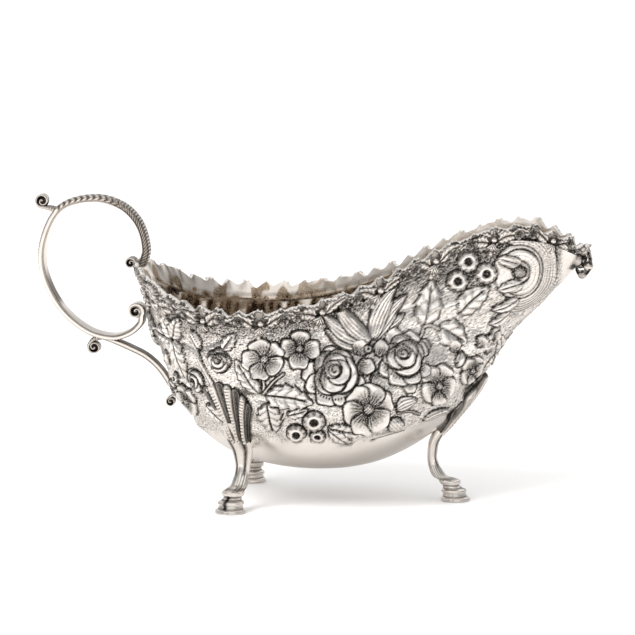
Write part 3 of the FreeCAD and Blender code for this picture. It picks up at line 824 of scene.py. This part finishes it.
def make_border(name, side, material, inside_material, node_name):
    angle, length, total = border_line(side)
    pitch = total / round(total / SCALLOP_PITCH)
    foot, outward = edge_frame(angle)
    crest = crest_height(length, pitch, foot[:, 0], side)
    share = np.concatenate([linspace(0, 1, OUTER_ROWS), linspace(1, 0, INNER_FACE_ROWS)])
    rise = -FOOT_BELOW + (crest[:, None] + FOOT_BELOW) * share
    face, tone = border_face(length, rise[:, :OUTER_ROWS], crest, total, pitch, side)
    back, back_tone = border_back(length, rise[:, OUTER_ROWS:], pitch, foot[:, 0])

    wave = 0.28 * cos(2 * pi * length / pitch)[:, None]
    ruffle = wave * (clip(rise, 0, 9) / BORDER_TALL) ** 2
    lean = BORDER_FLARE * clip(rise, -1, 9) / BORDER_TALL
    reach = lean + ruffle + np.concatenate([face, back], 1)
    rings = foot[:, None, :] + rise[..., None] * UP + reach[..., None] * outward[:, None, :]
    solid = Solid()
    solid.add_rings(rings, np.concatenate([tone, back_tone], 1), turned=side > 0)
    add_florets(solid, angle, length, foot, total, pitch)
    border = solid.build(name, material, node_name)
    inner = np.zeros(len(border.data.vertices), bool)
    inner[: rise.size] = np.tile(np.arange(rise.shape[1]) >= OUTER_ROWS, len(rise))
    line_inside(border, inside_material, inner)


# ----------------------------------------------------- handle, strap, scrolls

# Centre lines in the plane of symmetry, as (x, z) points.
LOOP_LINE = (
    (-70.5, 96.0), (-68.8, 102.5), (-71.6, 113.0), (-78.5, 120.2), (-90.0, 123.4),
    (-104.0, 119.5), (-111.1, 106.5), (-111.4, 93.0), (-104.5, 78.6), (-93.5, 69.1),
    (-83.0, 66.2), (-75.6, 68.2), (-71.2, 72.2),
)
LOOP_CURL, LOOP_CURL_RADIUS, LOOP_CURL_BAND = (-72.9, 77.0), 3.5, 1.4
STRAP_LINE = ((-87.0, 65.8), (-82.0, 64.4), (-76.5, 62.2), (-68.8, 58.3), (-63.2, 53.2), (-58.6, 46.4))
HANDLE_WIDTH, HANDLE_THICK = 8.6, 2.6
STRAP_WIDTH, STRAP_THICK = 7.6, 2.1
# The roped part of the loop ends where the loop passes this length.
ROPE_END = -105.5
# How square a band's section is, and the steps along a wide band and a narrow one.
SQUARENESS = 7
HANDLE_STEP, SCROLL_STEP = 0.4, 0.22
BEAD_PITCH = 1.15
SCROLL_WIDTH, SCROLL_BAND = 6.4, 0.34
# The small scrolls: eye, radius, where the outer turn starts in degrees, which way it
# winds, and the stem that it grows from.
SCROLLS = {
    "thumb_scroll": ((-111.6, 122.2), 3.0, -90, -1, ((-104.6, 117.6), (-107.6, 119.0))),
    "rim_scroll": ((-75.0, 97.0), 2.4, 20, 1, ((-69.6, 96.0), (-71.4, 96.6))),
    "lower_scroll": ((-90.6, 62.0), 2.8, 150, 1, ((-87.6, 66.0), (-90.8, 65.2))),
    "body_scroll": ((-58.8, 39.8), 2.1, 110, 1, ((-56.3, 46.0), (-57.2, 43.0))),
}


def even_line(points, spacing):
    """A smooth line through (x, z) points, and the distance along it."""
    points = np.array(points, float)
    chord = np.concatenate([[0], np.cumsum(np.linalg.norm(np.diff(points, axis=0), axis=1))])
    fine = linspace(0, chord[-1], 2000)
    line = np.stack([smooth(chord, column, fine) for column in points.T], -1)
    travelled = np.concatenate([[0], np.cumsum(np.linalg.norm(np.diff(line, axis=0), axis=1))])
    places = linspace(0, travelled[-1], int(travelled[-1] / spacing) + 1)
    return np.stack([np.interp(places, travelled, column) for column in line.T], -1), places


def square_ring(across_count, along_count):
    """Points round a unit square with its corners rounded: u through the band, v across it."""
    across = linspace(-1, 1, across_count, endpoint=False)
    along = linspace(-1, 1, along_count, endpoint=False)
    u = np.concatenate([across, np.ones(along_count), -across, -np.ones(along_count)])
    v = np.concatenate([-np.ones(across_count), along, np.ones(across_count), -along])
    shrink = (abs(u) ** SQUARENESS + abs(v) ** SQUARENESS) ** (-1 / SQUARENESS)
    return u * shrink, v * shrink


def add_band(solid, line, thick, wide, relief, counts=(9, 20)):
    """Sweep a band along a line of (x, z) points. thick and wide are its half sizes at
    each point, and relief gives its lift, and its tarnish with any painted shade, at u,
    through it, and v, across it."""
    tangent = unit(np.gradient(line, axis=0))
    out = np.stack([tangent[:, 1], 0 * tangent[:, 0], -tangent[:, 0]], -1)
    u, v = square_ring(*counts)
    lift, tone = relief(u, v)
    steep = SQUARENESS - 1
    facing = unit(np.stack([abs(u) ** steep * np.sign(u), abs(v) ** steep * np.sign(v)], -1))
    through = thick[:, None] * u + lift * facing[:, 0]
    across = wide[:, None] * v + lift * facing[:, 1]
    middle = np.stack([line[:, 0], 0 * line[:, 0], line[:, 1]], -1)
    side = np.array([0, 1.0, 0])
    rings = middle[:, None] + through[..., None] * out[:, None] + across[..., None] * side
    solid.add_rings(rings, tone + 0 * through, turned=True)


def edge_chasing(way, u, v, line_u, beaded=1.0):
    """Lift and tarnish of the beads along a band's two outer edges, and of a line cut
    down each of its sides."""
    bead = abs(sin(pi * way / BEAD_PITCH))
    edge = (u > 0.6) * (abs(v) > 0.8) * beaded
    side_line = bell(u - line_u, 0.16) * (abs(v) > 0.9)
    lift = 0.14 * edge * (bead - 0.5) - 0.14 * side_line
    return lift, 0.7 * edge * (1 - bead) ** 2 + 0.6 * side_line


def make_handle_loop(material):
    """The loop from the border round to its curl, roped on top and beaded below."""
    curl = spiral(LOOP_CURL, LOOP_CURL_RADIUS, LOOP_CURL_BAND, -30, 1)
    line, length = even_line(np.concatenate([LOOP_LINE, curl]), HANDLE_STEP)
    to_end = length[-1] - length
    tapered = (1 - 0.7 * (1 - step(4, 24, to_end))) * (1 + 0.2 * (1 - step(0, 14, length)))
    wide = HANDLE_WIDTH / 2 * (1 - 0.2 * (1 - step(0, 20, to_end)))
    thumb = length[(line[:, 0] < ROPE_END).argmax()]
    ropy = (1 - step(thumb - 1, thumb, length))[:, None]

    def relief(u, v):
        way, left = length[:, None], to_end[:, None]
        feather = 1 - step(22, 40, way)
        lobe = abs(sin(pi * (way / 2.5 + 0.45 * u + 0.8 * abs(v) * (u > 0.7)))) ** 0.6
        fine = abs(sin(pi * (way / 1.3 - 1.1 * u)))
        twist = lobe * (1 - feather) + fine * feather
        held = ropy * step(-0.35, 0.0, u + 0.6 * feather)
        lift, tone = edge_chasing(way, u, v, -0.5, 1 - ropy)
        # Painted shade on the loop's outer face where it runs round into its curl by the strap, and on
        # its inner face, towards the bowl, low at the back.
        shaded_end = (u > 0.8) * step(14, 20, left) * (1 - step(32, 42, left))
        shaded_side = (1 - step(-107, -104, line[:, :1])) * (1 - step(86, 96, line[:, 1:])) * (u < -0.8)
        tone = tone + 1.2 * held * (1 - twist) ** 0.9 + 0.6 * (shaded_end + shaded_side)
        return lift + held * (0.36 * twist - 0.1), clip(tone, 0, 1)

    solid = Solid()
    add_band(solid, line, HANDLE_THICK / 2 * tapered, wide, relief)
    add_eye(solid, LOOP_CURL, LOOP_CURL_RADIUS, LOOP_CURL_BAND, HANDLE_WIDTH * 0.8)
    solid.build("Handle_loop", material, "handle_loop")


def make_handle_strap(material):
    line, length = even_line(STRAP_LINE, HANDLE_STEP)
    thick = STRAP_THICK / 2 * (0.5 + 0.5 * step(0, 9, length))
    wide = STRAP_WIDTH / 2 * (1 - 0.12 * step(0, length[-1], length))

    def relief(u, v):
        way = length[:, None]
        lift, tone = edge_chasing(way, u, v, 0.5)
        return lift, tone + 0.6 * (u < -0.8) * step(4, 10, way)

    solid = Solid()
    add_band(solid, line, thick, wide, relief)
    solid.build("Handle_strap", material, "handle_strap")


def spiral(eye, radius, band, start, hand):
    """Centre line of a scroll: half a turn round, then winding in to its eye."""
    turns, round_share = 1.6, 0.3
    share = linspace(0, 1, 40)
    winding = clip((share - round_share) / (1 - round_share), 0, None)
    reach = (radius - band / 2) * (1 - winding) + 0.25 * band * winding
    angle = radians(start + hand * 360 * turns * share)
    return np.stack([eye[0] + reach * cos(angle), eye[1] + reach * sin(angle)], -1)


def add_eye(solid, eye, radius, band, width):
    """A dark disc in a scroll's winding, painted shade in the hollow between its coils, and the bright
    bead in its middle.
    """
    middle = np.array([eye[0], 0, eye[1]])
    x, y, z = np.eye(3)
    knob(solid, middle, y * (width / 2 - 0.7), x * radius * 0.84, z * radius * 0.84, tone=1.0)
    knob(solid, middle, y * (width / 2 + 0.1), x * band * 0.55, z * band * 0.55)


def make_scroll(node_name, material, eye, radius, start, hand, stem):
    """A small scroll that winds in from its stem, ribbed at the root."""
    band = radius * SCROLL_BAND
    winding = spiral(eye, radius, band, start, hand)
    line, length = even_line(np.concatenate([stem, winding]), SCROLL_STEP)
    share = length / length[-1]
    thick = band / 2 * (1.9 - 1.2 * step(0, 0.55, share))
    wide = SCROLL_WIDTH / 2 * (1 - 0.12 * step(0.4, 1, share))

    def relief(u, v):
        rooted = 1 - step(0.0, 0.35, share[:, None])
        rib = abs(sin(pi * length[:, None] / 1.1))
        return 0.15 * rooted * rib, 0.12 + 0.6 * rooted * (1 - rib) + 0.25 * (u > 0.8)

    solid = Solid()
    add_band(solid, line, thick, wide, relief, counts=(5, 12))
    add_eye(solid, eye, radius, band, SCROLL_WIDTH)
    solid.build(node_name.capitalize(), material, node_name)


LIP_LINE = (
    (108.5, 106.5), (111.5, 104.5), (113.2, 101.0), (113.2, 97.5), (111.6, 94.6),
    (109.0, 94.2), (107.6, 96.2), (108.4, 98.4), (110.2, 98.2), (110.4, 96.8),
)


def make_lip_scroll(material):
    """A ribbed leaf that hangs from the tip of the lip and curls under, with its beads."""
    line, length = even_line(LIP_LINE, SCROLL_STEP)
    share = length / length[-1]
    thick = 0.75 - 0.3 * share
    wide = 1.6 + 3.0 * sin(pi * clip(share * 1.25, 0, 1)) ** 0.8 + 0.35 * sin(length * 2.2)

    def relief(u, v):
        rib = abs(cos(pi * 2.5 * v))
        cut = abs(sin(length[:, None] * 1.5 + 1.5 * abs(v)))
        return 0.3 * rib * (u > 0), clip(0.8 * (1 - rib) + 0.5 * (1 - cut) ** 2, 0, 1)

    solid = Solid()
    add_band(solid, line, thick, wide, relief, counts=(5, 26))
    x, y, z = np.eye(3)
    for side in (RIGHT, LEFT):
        knob(solid, np.array([112.4, side * 3.2, 97.6]), x * 2.0, y * 1.8, z * 2.0, 0.15, groove=0.6)
        knob(solid, np.array([108.2, side * 4.8, 100.4]), z * 2.4, y * 1.6, x * 1.9, 0.25, groove=0.9)
        knob(solid, np.array([104.8, side * 6.4, 103.6]), x * 2.1, y * 1.6, z * 1.7, 0.25, groove=0.9)
        knob(solid, np.array([110.0, side * 3.8, 94.2]), x * 1.8, y * 1.5, z * 1.5, 0.3, groove=0.8)
    solid.build("Lip_scroll", material, "lip_scroll")


# ---------------------------------------------------------------- legs, fans

# Each foot: the middle of its sole, where its toe points in degrees from +X, and its
# hand: 1 on the right side, -1 on the left, 0 in the middle.
FEET = {
    "front": (58.8, 0.0, 0.0, 0.0),
    "rear_right": (-30.0, -37.6, 244.0, 1.0),
    "rear_left": (-30.0, 37.6, -244.0, -1.0),
}
LEG_HEIGHT, LEG_TOP, HOOF_TOP = 30.0, 36.5, 8.6
# The leg's sections, with the toe towards +X: height, centre, half length, half width.
LEG_SECTIONS = np.array((
    (0.0, 0.0, 5.6, 6.0), (0.4, 0.0, 6.0, 6.3), (1.4, 0.0, 5.8, 6.1), (1.8, -0.3, 4.9, 5.2),
    (3.3, -0.5, 4.6, 4.9), (3.7, -0.6, 5.1, 5.4), (4.7, -0.8, 5.0, 5.3), (5.1, -1.1, 4.0, 4.3),
    (6.5, -2.0, 3.3, 3.6), (7.1, -2.0, 4.2, 4.5), (8.6, -2.6, 4.2, 4.3), (9.9, -6.2, 3.0, 3.4),
    (12.9, -8.4, 2.4, 3.2), (17.4, -9.7, 2.0, 3.4), (21.5, -9.6, 2.1, 4.2), (24.7, -9.0, 2.3, 5.0),
    (28.5, -7.0, 2.6, 5.7), (33.0, -4.4, 2.6, 5.0), (37.0, -2.0, 2.6, 3.6),
))
# Dark rings round the hoof and above it: height, strength and breadth.
HOOF_RINGS = ((2.0, 0.5, 0.3), (5.4, 0.6, 0.3), (6.6, 0.5, 0.3), (9.3, 0.4, 0.4))
HAIRS = 8

FAN_LOBES, FAN_NECK, FAN_RADIUS, FAN_SHIFT, LOBE_TIP = 7, 4.9, 23.5, 2.2, 1.9
# How far each fan spreads, in degrees, and how fast its outer lobes shorten.
FAN_SPREAD = {"front": (124.0, 0.6), "rear_right": (66.0, 0.9), "rear_left": (66.0, 0.9)}
# Points of a fan's mesh across each lobe and along it.
LOBE_COLUMNS, FAN_ROWS = 16, 60
# Rays that find the bowl under a fan start this far outside a foot.
RAY_FROM = 40


def bowl_tree():
    """The bowl's plain outside, to rest the castings on."""
    angle = linspace(0, 2 * pi, 240, endpoint=False)
    station = linspace(0, TOP_STATION, 110)
    points = bowl_point(angle[None, :], station[:, None])
    ends = [points[0].mean(0), points[-1].mean(0)]
    vertices = np.concatenate([points.reshape(-1, 3), ends])
    faces = [face for group in tube_faces(len(station), len(angle)) for face in group.tolist()]
    return BVHTree.FromPolygons(vertices.tolist(), faces)


def foot_axes(foot):
    """The middle of a sole, its toe direction, the direction across it and its hand."""
    x, y, heading, hand = FEET[foot]
    turn = radians(heading)
    toe = np.array([cos(turn), sin(turn), 0.0])
    across = np.array([-sin(turn), cos(turn), 0.0])
    return np.array([x, y, 0.0]), toe, across, hand


def leg_form(height):
    """Centre, half length and half width at each height: sharp steps in the hoof and
    smooth curves above it."""
    blend = step(HOOF_TOP - 1, HOOF_TOP + 1, height)
    heights = LEG_SECTIONS[:, 0]
    form = []
    for column in LEG_SECTIONS.T[1:]:
        sharp, soft = np.interp(height, heights, column), smooth(heights, column, height)
        form.append((sharp * (1 - blend) + soft * blend)[:, None])
    return form


def leg_chasing(turn, rise):
    """Lift and tarnish round a leg, with the toe at turn 0: a cloven hoof, hair above
    it, and a ridge between two grooves up to the knee."""
    off = abs((turn + pi) % (2 * pi) - pi)
    strand = abs(sin(turn * HAIRS))
    split = bell(off, 0.16) * step(1.6, 2.2, rise) * (1 - step(6.6, 7.4, rise))
    hair = strand * step(8.6, 9.6, rise) * (1 - step(12, 15, rise)) * (off < 2.4)
    flute = bell(off - 0.62, 0.2) * step(13.5, 16, rise) * (1 - step(28, 30, rise))
    spine = bell(off, 0.3) * step(10, 14, rise)
    lip = bell(rise - 8.1, 0.5) + 0.6 * bell(rise - 4.2, 0.3)
    tone = 0.9 * split + 0.85 * flute + 0.7 * (1 - strand) ** 2 * (hair > 0)
    for ring_height, strength, breadth in HOOF_RINGS:
        tone = tone + strength * bell(rise - ring_height, breadth)
    return 0.25 * spine - 0.6 * split - 0.35 * flute + 0.3 * hair + 0.3 * lip, clip(tone, 0, 1)


def make_leg(foot, material, tree):
    """A hoofed leg whose top spreads and sinks into the bowl's surface."""
    place, toe, across, hand = foot_axes(foot)
    height = np.concatenate([
        linspace(0, HOOF_TOP, 60, endpoint=False), linspace(HOOF_TOP, LEG_TOP, 110),
    ])
    centre, long_half, wide_half = leg_form(height)
    turn = linspace(0, 2 * pi, 72, endpoint=False)[None, :]
    rise = height[:, None] + 0 * turn
    lift, tone = leg_chasing(turn, rise)
    reach_long = centre + (long_half + lift) * cos(turn)
    reach_wide = (wide_half + lift) * sin(turn) - 0.8 * hand * step(23, 34, rise)
    points = place + reach_long[..., None] * toe + reach_wide[..., None] * across + rise[..., None] * UP
    for point in points[height > 18].reshape(-1, 3):
        near, normal, _, _ = tree.find_nearest(Vector(point))
        above = (Vector(point) - near).dot(normal)
        shrunk = 1 - 0.98 * float(step(22.0, 31.5, point[2]))
        point[:] = near + normal * max(above * shrunk, -0.4)
    solid = Solid()
    solid.add_rings(points, tone)
    solid.build(f"Leg_{foot}", material, f"leg_{foot}")


def fan_form(foot, hand):
    """A fan laid out flat. The places of its points, across and up from its root, and
    their lift and tarnish: hollow flutes and beaded ribs in turn."""
    spread, shortening = FAN_SPREAD[foot]
    side = linspace(-1, 1, FAN_LOBES * LOBE_COLUMNS + 1)
    angle = radians(side * spread / 2)
    lobe = (side + 1) / 2 * FAN_LOBES
    within = abs((lobe % 1.0) * 2 - 1)
    within[-1] = 1.0
    beaded = ((clip(lobe, 0, FAN_LOBES - 0.01).astype(int) % 2) == 1)[:, None]
    reach = FAN_RADIUS * cos(angle * shortening) * (1 - 0.19 * side * hand)
    share = linspace(0, 1, FAN_ROWS)[None, :]
    tip = np.stack([reach * sin(angle), reach * cos(angle)], -1)
    root = np.stack([FAN_NECK * side, 0 * side], -1)
    flat = root[:, None] + (tip - root)[:, None] * np.stack([share**1.5, share], -1)

    left = (1 - share) * reach[:, None]
    t = hypot(within[:, None], clip(1 - left / LOBE_TIP, 0, 1))
    edge = step(0.95, 1.2, t)
    beads = abs(sin(pi * share * reach[:, None] / 1.3))
    hollow = 0.5 + 1.7 * clip(t, 0, 1) ** 2
    rib = 1.5 + 0.9 * dome(t) + 0.4 * beads * (t < 0.55)
    parting = bell(1 - t, 0.17)
    lift = (np.where(beaded, rib, hollow) - 0.9 * parting) * (1 - edge) - 0.2 * edge
    lift = lift + 1.1 * (1 - step(0.0, 0.4, share))
    tone = np.where(beaded, 0.8 * (1 - beads) ** 2 * (t < 0.6), 0.82 * (1 - t**2))
    return flat, lift, clip(tone + 0.9 * parting + edge, 0, 1)


def make_fan(foot, material, tree):
    """A fan laid on the bowl above a leg."""
    place, toe, across, hand = foot_axes(foot)
    flat, lift, tone = fan_form(foot, hand)
    start = place + toe * RAY_FROM + across * (hand * FAN_SHIFT) + UP * LEG_HEIGHT
    top, bottom = np.zeros((*lift.shape, 3)), np.zeros((*lift.shape, 3))
    for spot in np.ndindex(*lift.shape):
        here = start + across * flat[spot][0] + UP * flat[spot][1]
        hit, normal, _, _ = tree.ray_cast(Vector(here), Vector(-toe))
        if hit is None:
            hit, normal, _, _ = tree.find_nearest(Vector(here - toe * RAY_FROM))
        top[spot] = hit + normal * float(lift[spot])
        bottom[spot] = hit - normal * 0.5
    solid = Solid()
    solid.add_rings(np.concatenate([top, bottom[:, ::-1]], 1), np.concatenate([tone, 0 * tone], 1))
    solid.build(f"Fan_{foot}", material, f"shell_{foot}")


# ---------------------------------------------------------------- materials

def empty_tree(owner):
    """The node tree of a new material or world, with nothing in it."""
    owner.use_nodes = True
    owner.node_tree.nodes.clear()
    return owner.node_tree


def node(tree, kind, inputs, **properties):
    """A shader node. Each input is a value or another node's output."""
    made = tree.nodes.new("ShaderNode" + kind)
    for name, value in properties.items():
        setattr(made, name, value)
    for name, value in inputs.items():
        if isinstance(value, bpy.types.NodeSocket):
            tree.links.new(value, made.inputs[name])
        else:
            made.inputs[name].default_value = value
    return made


def calculated(tree, operation, *terms, **properties):
    made = node(tree, "Math", dict(enumerate(terms)), operation=operation, **properties)
    return made.outputs["Value"]


def mapped(tree, value, from_low, from_high, to_low, to_high):
    """A value's range spread over another range, and held at its ends."""
    ends = {"From Min": from_low, "From Max": from_high, "To Min": to_low, "To Max": to_high}
    return node(tree, "MapRange", {"Value": value, **ends}).outputs["Result"]


def ramped(tree, value, stops):
    """A colour for a value, from stops of position and colour."""
    made = node(tree, "ValToRGB", {"Fac": value})
    elements = made.color_ramp.elements
    while len(elements) < len(stops):
        elements.new(0.5)
    for element, (position, colour) in zip(elements, stops):
        element.position = position
        element.color = (*colour, 1)
    return made.outputs["Color"]


def multiplied(tree, first, second):
    colours = {"Factor": 1.0, "A": first, "B": second}
    return node(tree, "Mix", colours, data_type="RGBA", blend_type="MULTIPLY").outputs["Result"]


def silver(name, polish, stipple, bright=(0.95, 0.92, 0.89), dull=(0.36, 0.34, 0.32),
           deep=(0.035, 0.031, 0.028)):
    """Silver darkened by tarnish in its hollows and by painted shade, with fine wear and a grain of
    punch marks.
    """
    material = bpy.data.materials.new(name)
    tree = empty_tree(material)
    place = node(tree, "TexCoord", {}).outputs["Object"]
    tarnish_and_shade = node(tree, "Attribute", {}, attribute_name="tarnish_and_shade").outputs["Fac"]
    dots = node(tree, "TexVoronoi", {"Vector": place, "Scale": 1450.0}).outputs["Distance"]
    cloud = node(tree, "TexNoise", {"Vector": place, "Scale": 90.0, "Detail": 4.0}).outputs["Fac"]
    wear = node(tree, "TexNoise", {"Vector": place, "Scale": 900.0, "Detail": 6.0}).outputs["Fac"]

    speckle = mapped(tree, dots, 0.1, 0.6, 1.0 - stipple, 1.0 + stipple)
    patchy = mapped(tree, cloud, 0.3, 0.7, 0.85, 1.15)
    speckled = calculated(tree, "MULTIPLY", tarnish_and_shade, speckle)
    dark = calculated(tree, "MULTIPLY", speckled, patchy, use_clamp=True)
    rough = calculated(tree, "MULTIPLY_ADD", wear, 0.12, mapped(tree, dark, 0.0, 1.0, polish, 0.55))
    depth = calculated(tree, "MULTIPLY_ADD", wear, 0.12, calculated(tree, "MULTIPLY", dots, dark))
    bump = node(tree, "Bump", {"Strength": 0.35, "Distance": 0.00012, "Height": depth})
    shader = node(tree, "BsdfPrincipled", {
        "Base Color": ramped(tree, dark, ((0.0, bright), (0.45, dull), (1.0, deep))),
        "Metallic": 1.0,
        "Roughness": rough,
        "Normal": bump.outputs["Normal"],
    })
    node(tree, "OutputMaterial", {"Surface": shader.outputs["BSDF"]})
    return material


# -------------------------------------------------------------------- studio

FLOOR_HALF = 3.0
# Brightness of the floor in reflections, under the boat and far from it: a painted shadow round the
# boat, seen only in reflections.
FLOOR_SHADE = (0.60, 1.0)
FLOOR_WARMTH = (1.0, 0.955, 0.91, 1)
# Brightness of the tent in reflections, by height: from straight down to straight up.
TENT = (
    (0.0, 0.80), (0.50, 0.85), (0.57, 0.95), (0.62, 0.56), (0.68, 0.56), (0.75, 0.90), (0.92, 1.0),
)
# How bright the tent is to the camera and in reflections.
TENT_PLAIN, TENT_SEEN = 1.12, 1.07
# Dark patches in the tent's reflection: the noise that bounds them, and their colour.
PATCH_FROM, PATCH_TO, PATCH_COLOUR = 0.34, 0.39, (0.16, 0.16, 0.165)
WHITE = (1.0, 1.0, 1.0)


def make_floor():
    """A pale floor: white to the camera, and warm in reflections, with a painted shadow under the boat
    that only reflections show.
    """
    mesh = bpy.data.meshes.new("Floor")
    corners = [(x * FLOOR_HALF, y * FLOOR_HALF, 0) for x, y in ((-1, -1), (1, -1), (1, 1), (-1, 1))]
    mesh.from_pydata(corners, [], [(0, 1, 2, 3)])
    floor = bpy.data.objects.new("Floor", mesh)
    bpy.context.scene.collection.objects.link(floor)
    material = bpy.data.materials.new("Floor")
    tree = empty_tree(material)
    place = node(tree, "TexCoord", {}).outputs["Object"]
    away = node(tree, "VectorMath", {0: place}, operation="LENGTH").outputs["Value"]
    reflected = multiplied(tree, FLOOR_WARMTH, mapped(tree, away, 0.10, 0.45, *FLOOR_SHADE))
    glossy = node(tree, "LightPath", {}).outputs["Is Glossy Ray"]
    tints = {"Factor": glossy, "A": (*WHITE, 1), "B": reflected}
    tint = node(tree, "Mix", tints, data_type="RGBA").outputs["Result"]
    shader = node(tree, "BsdfPrincipled", {"Base Color": tint, "Roughness": 0.6})
    node(tree, "OutputMaterial", {"Surface": shader.outputs["BSDF"]})
    mesh.materials.append(material)


def make_world():
    """A white tent: plain white to the camera, with darker panels in reflections."""
    world = bpy.data.worlds.new("Studio")
    bpy.context.scene.world = world
    tree = empty_tree(world)
    place = node(tree, "TexCoord", {}).outputs["Generated"]
    parts = node(tree, "SeparateXYZ", {"Vector": place}).outputs
    stops = [(height, (value, value * 0.975, value * 0.95)) for height, value in TENT]
    tent = ramped(tree, mapped(tree, parts["Z"], -1.0, 1.0, 0.0, 1.0), stops)
    noise = node(tree, "TexNoise", {"Vector": place, "Scale": 1.8, "Detail": 1.5}).outputs["Fac"]
    patches = ramped(tree, noise, ((PATCH_FROM, PATCH_COLOUR), (PATCH_TO, WHITE)))
    aside = mapped(tree, calculated(tree, "ABSOLUTE", parts["X"]), 0.50, 0.80, 1.0, 0.50)
    reflected = multiplied(tree, tent, multiplied(tree, patches, aside))
    plain = node(tree, "Background", {"Color": (*WHITE, 1), "Strength": TENT_PLAIN})
    seen = node(tree, "Background", {"Color": reflected, "Strength": TENT_SEEN})
    glossy = node(tree, "LightPath", {}).outputs["Is Glossy Ray"]
    mix = node(tree, "MixShader", {"Fac": glossy, 1: plain.outputs[0], 2: seen.outputs[0]})
    node(tree, "OutputWorld", {"Surface": mix.outputs["Shader"]})


KEY_PLACE, KEY_AIM = Vector((-0.5, -0.7, 0.9)), Vector((0, 0, 0.06))
KEY_SIZE, KEY_POWER = 0.7, 14.0


def make_key_light():
    """A soft lamp from the left, above the camera, that shows in no reflection."""
    data = bpy.data.lights.new("Key", "AREA")
    data.size = KEY_SIZE
    data.energy = KEY_POWER
    lamp = bpy.data.objects.new("Key", data)
    lamp.location = KEY_PLACE
    lamp.rotation_mode = "QUATERNION"
    lamp.rotation_quaternion = (KEY_AIM - KEY_PLACE).to_track_quat("-Z", "Y")
    lamp.visible_glossy = False
    bpy.context.scene.collection.objects.link(lamp)


CAMERA_TARGET = Vector((1.8, 0.0, 75.1)) * MM
CAMERA_AZIMUTH, CAMERA_ELEVATION = radians(5.5), radians(7.3)
CAMERA_DISTANCE, CAMERA_LENS, CAMERA_SENSOR = 1.5, 207.4, 36.0


def make_camera():
    camera = bpy.data.objects.new("Camera", bpy.data.cameras.new("Camera"))
    bpy.context.scene.collection.objects.link(camera)
    back = Vector((
        sin(CAMERA_AZIMUTH) * cos(CAMERA_ELEVATION),
        -cos(CAMERA_AZIMUTH) * cos(CAMERA_ELEVATION),
        sin(CAMERA_ELEVATION),
    ))
    camera.location = CAMERA_TARGET + back * CAMERA_DISTANCE
    camera.rotation_mode = "QUATERNION"
    camera.rotation_quaternion = (-back).to_track_quat("-Z", "Y")
    camera.data.lens = CAMERA_LENS
    camera.data.sensor_width = CAMERA_SENSOR
    bpy.context.scene.camera = camera


def main():
    # The chased silver is painted lighter, and the handle's silver darker, than the cast silver: lit and
    # shaded copies of one metal.
    chased = silver("Chased silver", 0.17, 0.5, bright=(1.0, 0.975, 0.95), dull=(0.45, 0.43, 0.41))
    inner = silver("Inner silver", 0.15, 0.4, bright=(0.89, 0.84, 0.79), dull=(0.42, 0.33, 0.24),
                   deep=(0.040, 0.022, 0.010))
    cast = silver("Cast silver", 0.17, 0.2, bright=(0.90, 0.865, 0.83))
    plain = silver("Handle silver", 0.13, 0.15, bright=(0.67, 0.635, 0.605), dull=(0.26, 0.23, 0.20))
    make_bowl(chased, inner)
    make_border("Border_right", RIGHT, cast, inner, "rim_border_right")
    make_border("Border_left", LEFT, cast, inner, "rim_border_left")
    make_handle_loop(plain)
    make_handle_strap(plain)
    for node_name, form in SCROLLS.items():
        make_scroll(node_name, plain, *form)
    make_lip_scroll(cast)
    tree = bowl_tree()
    for foot in FEET:
        make_leg(foot, cast, tree)
        make_fan(foot, cast, tree)
    make_floor()
    make_world()
    make_key_light()
    make_camera()
    bpy.context.scene.view_settings.view_transform = "Standard"


main()
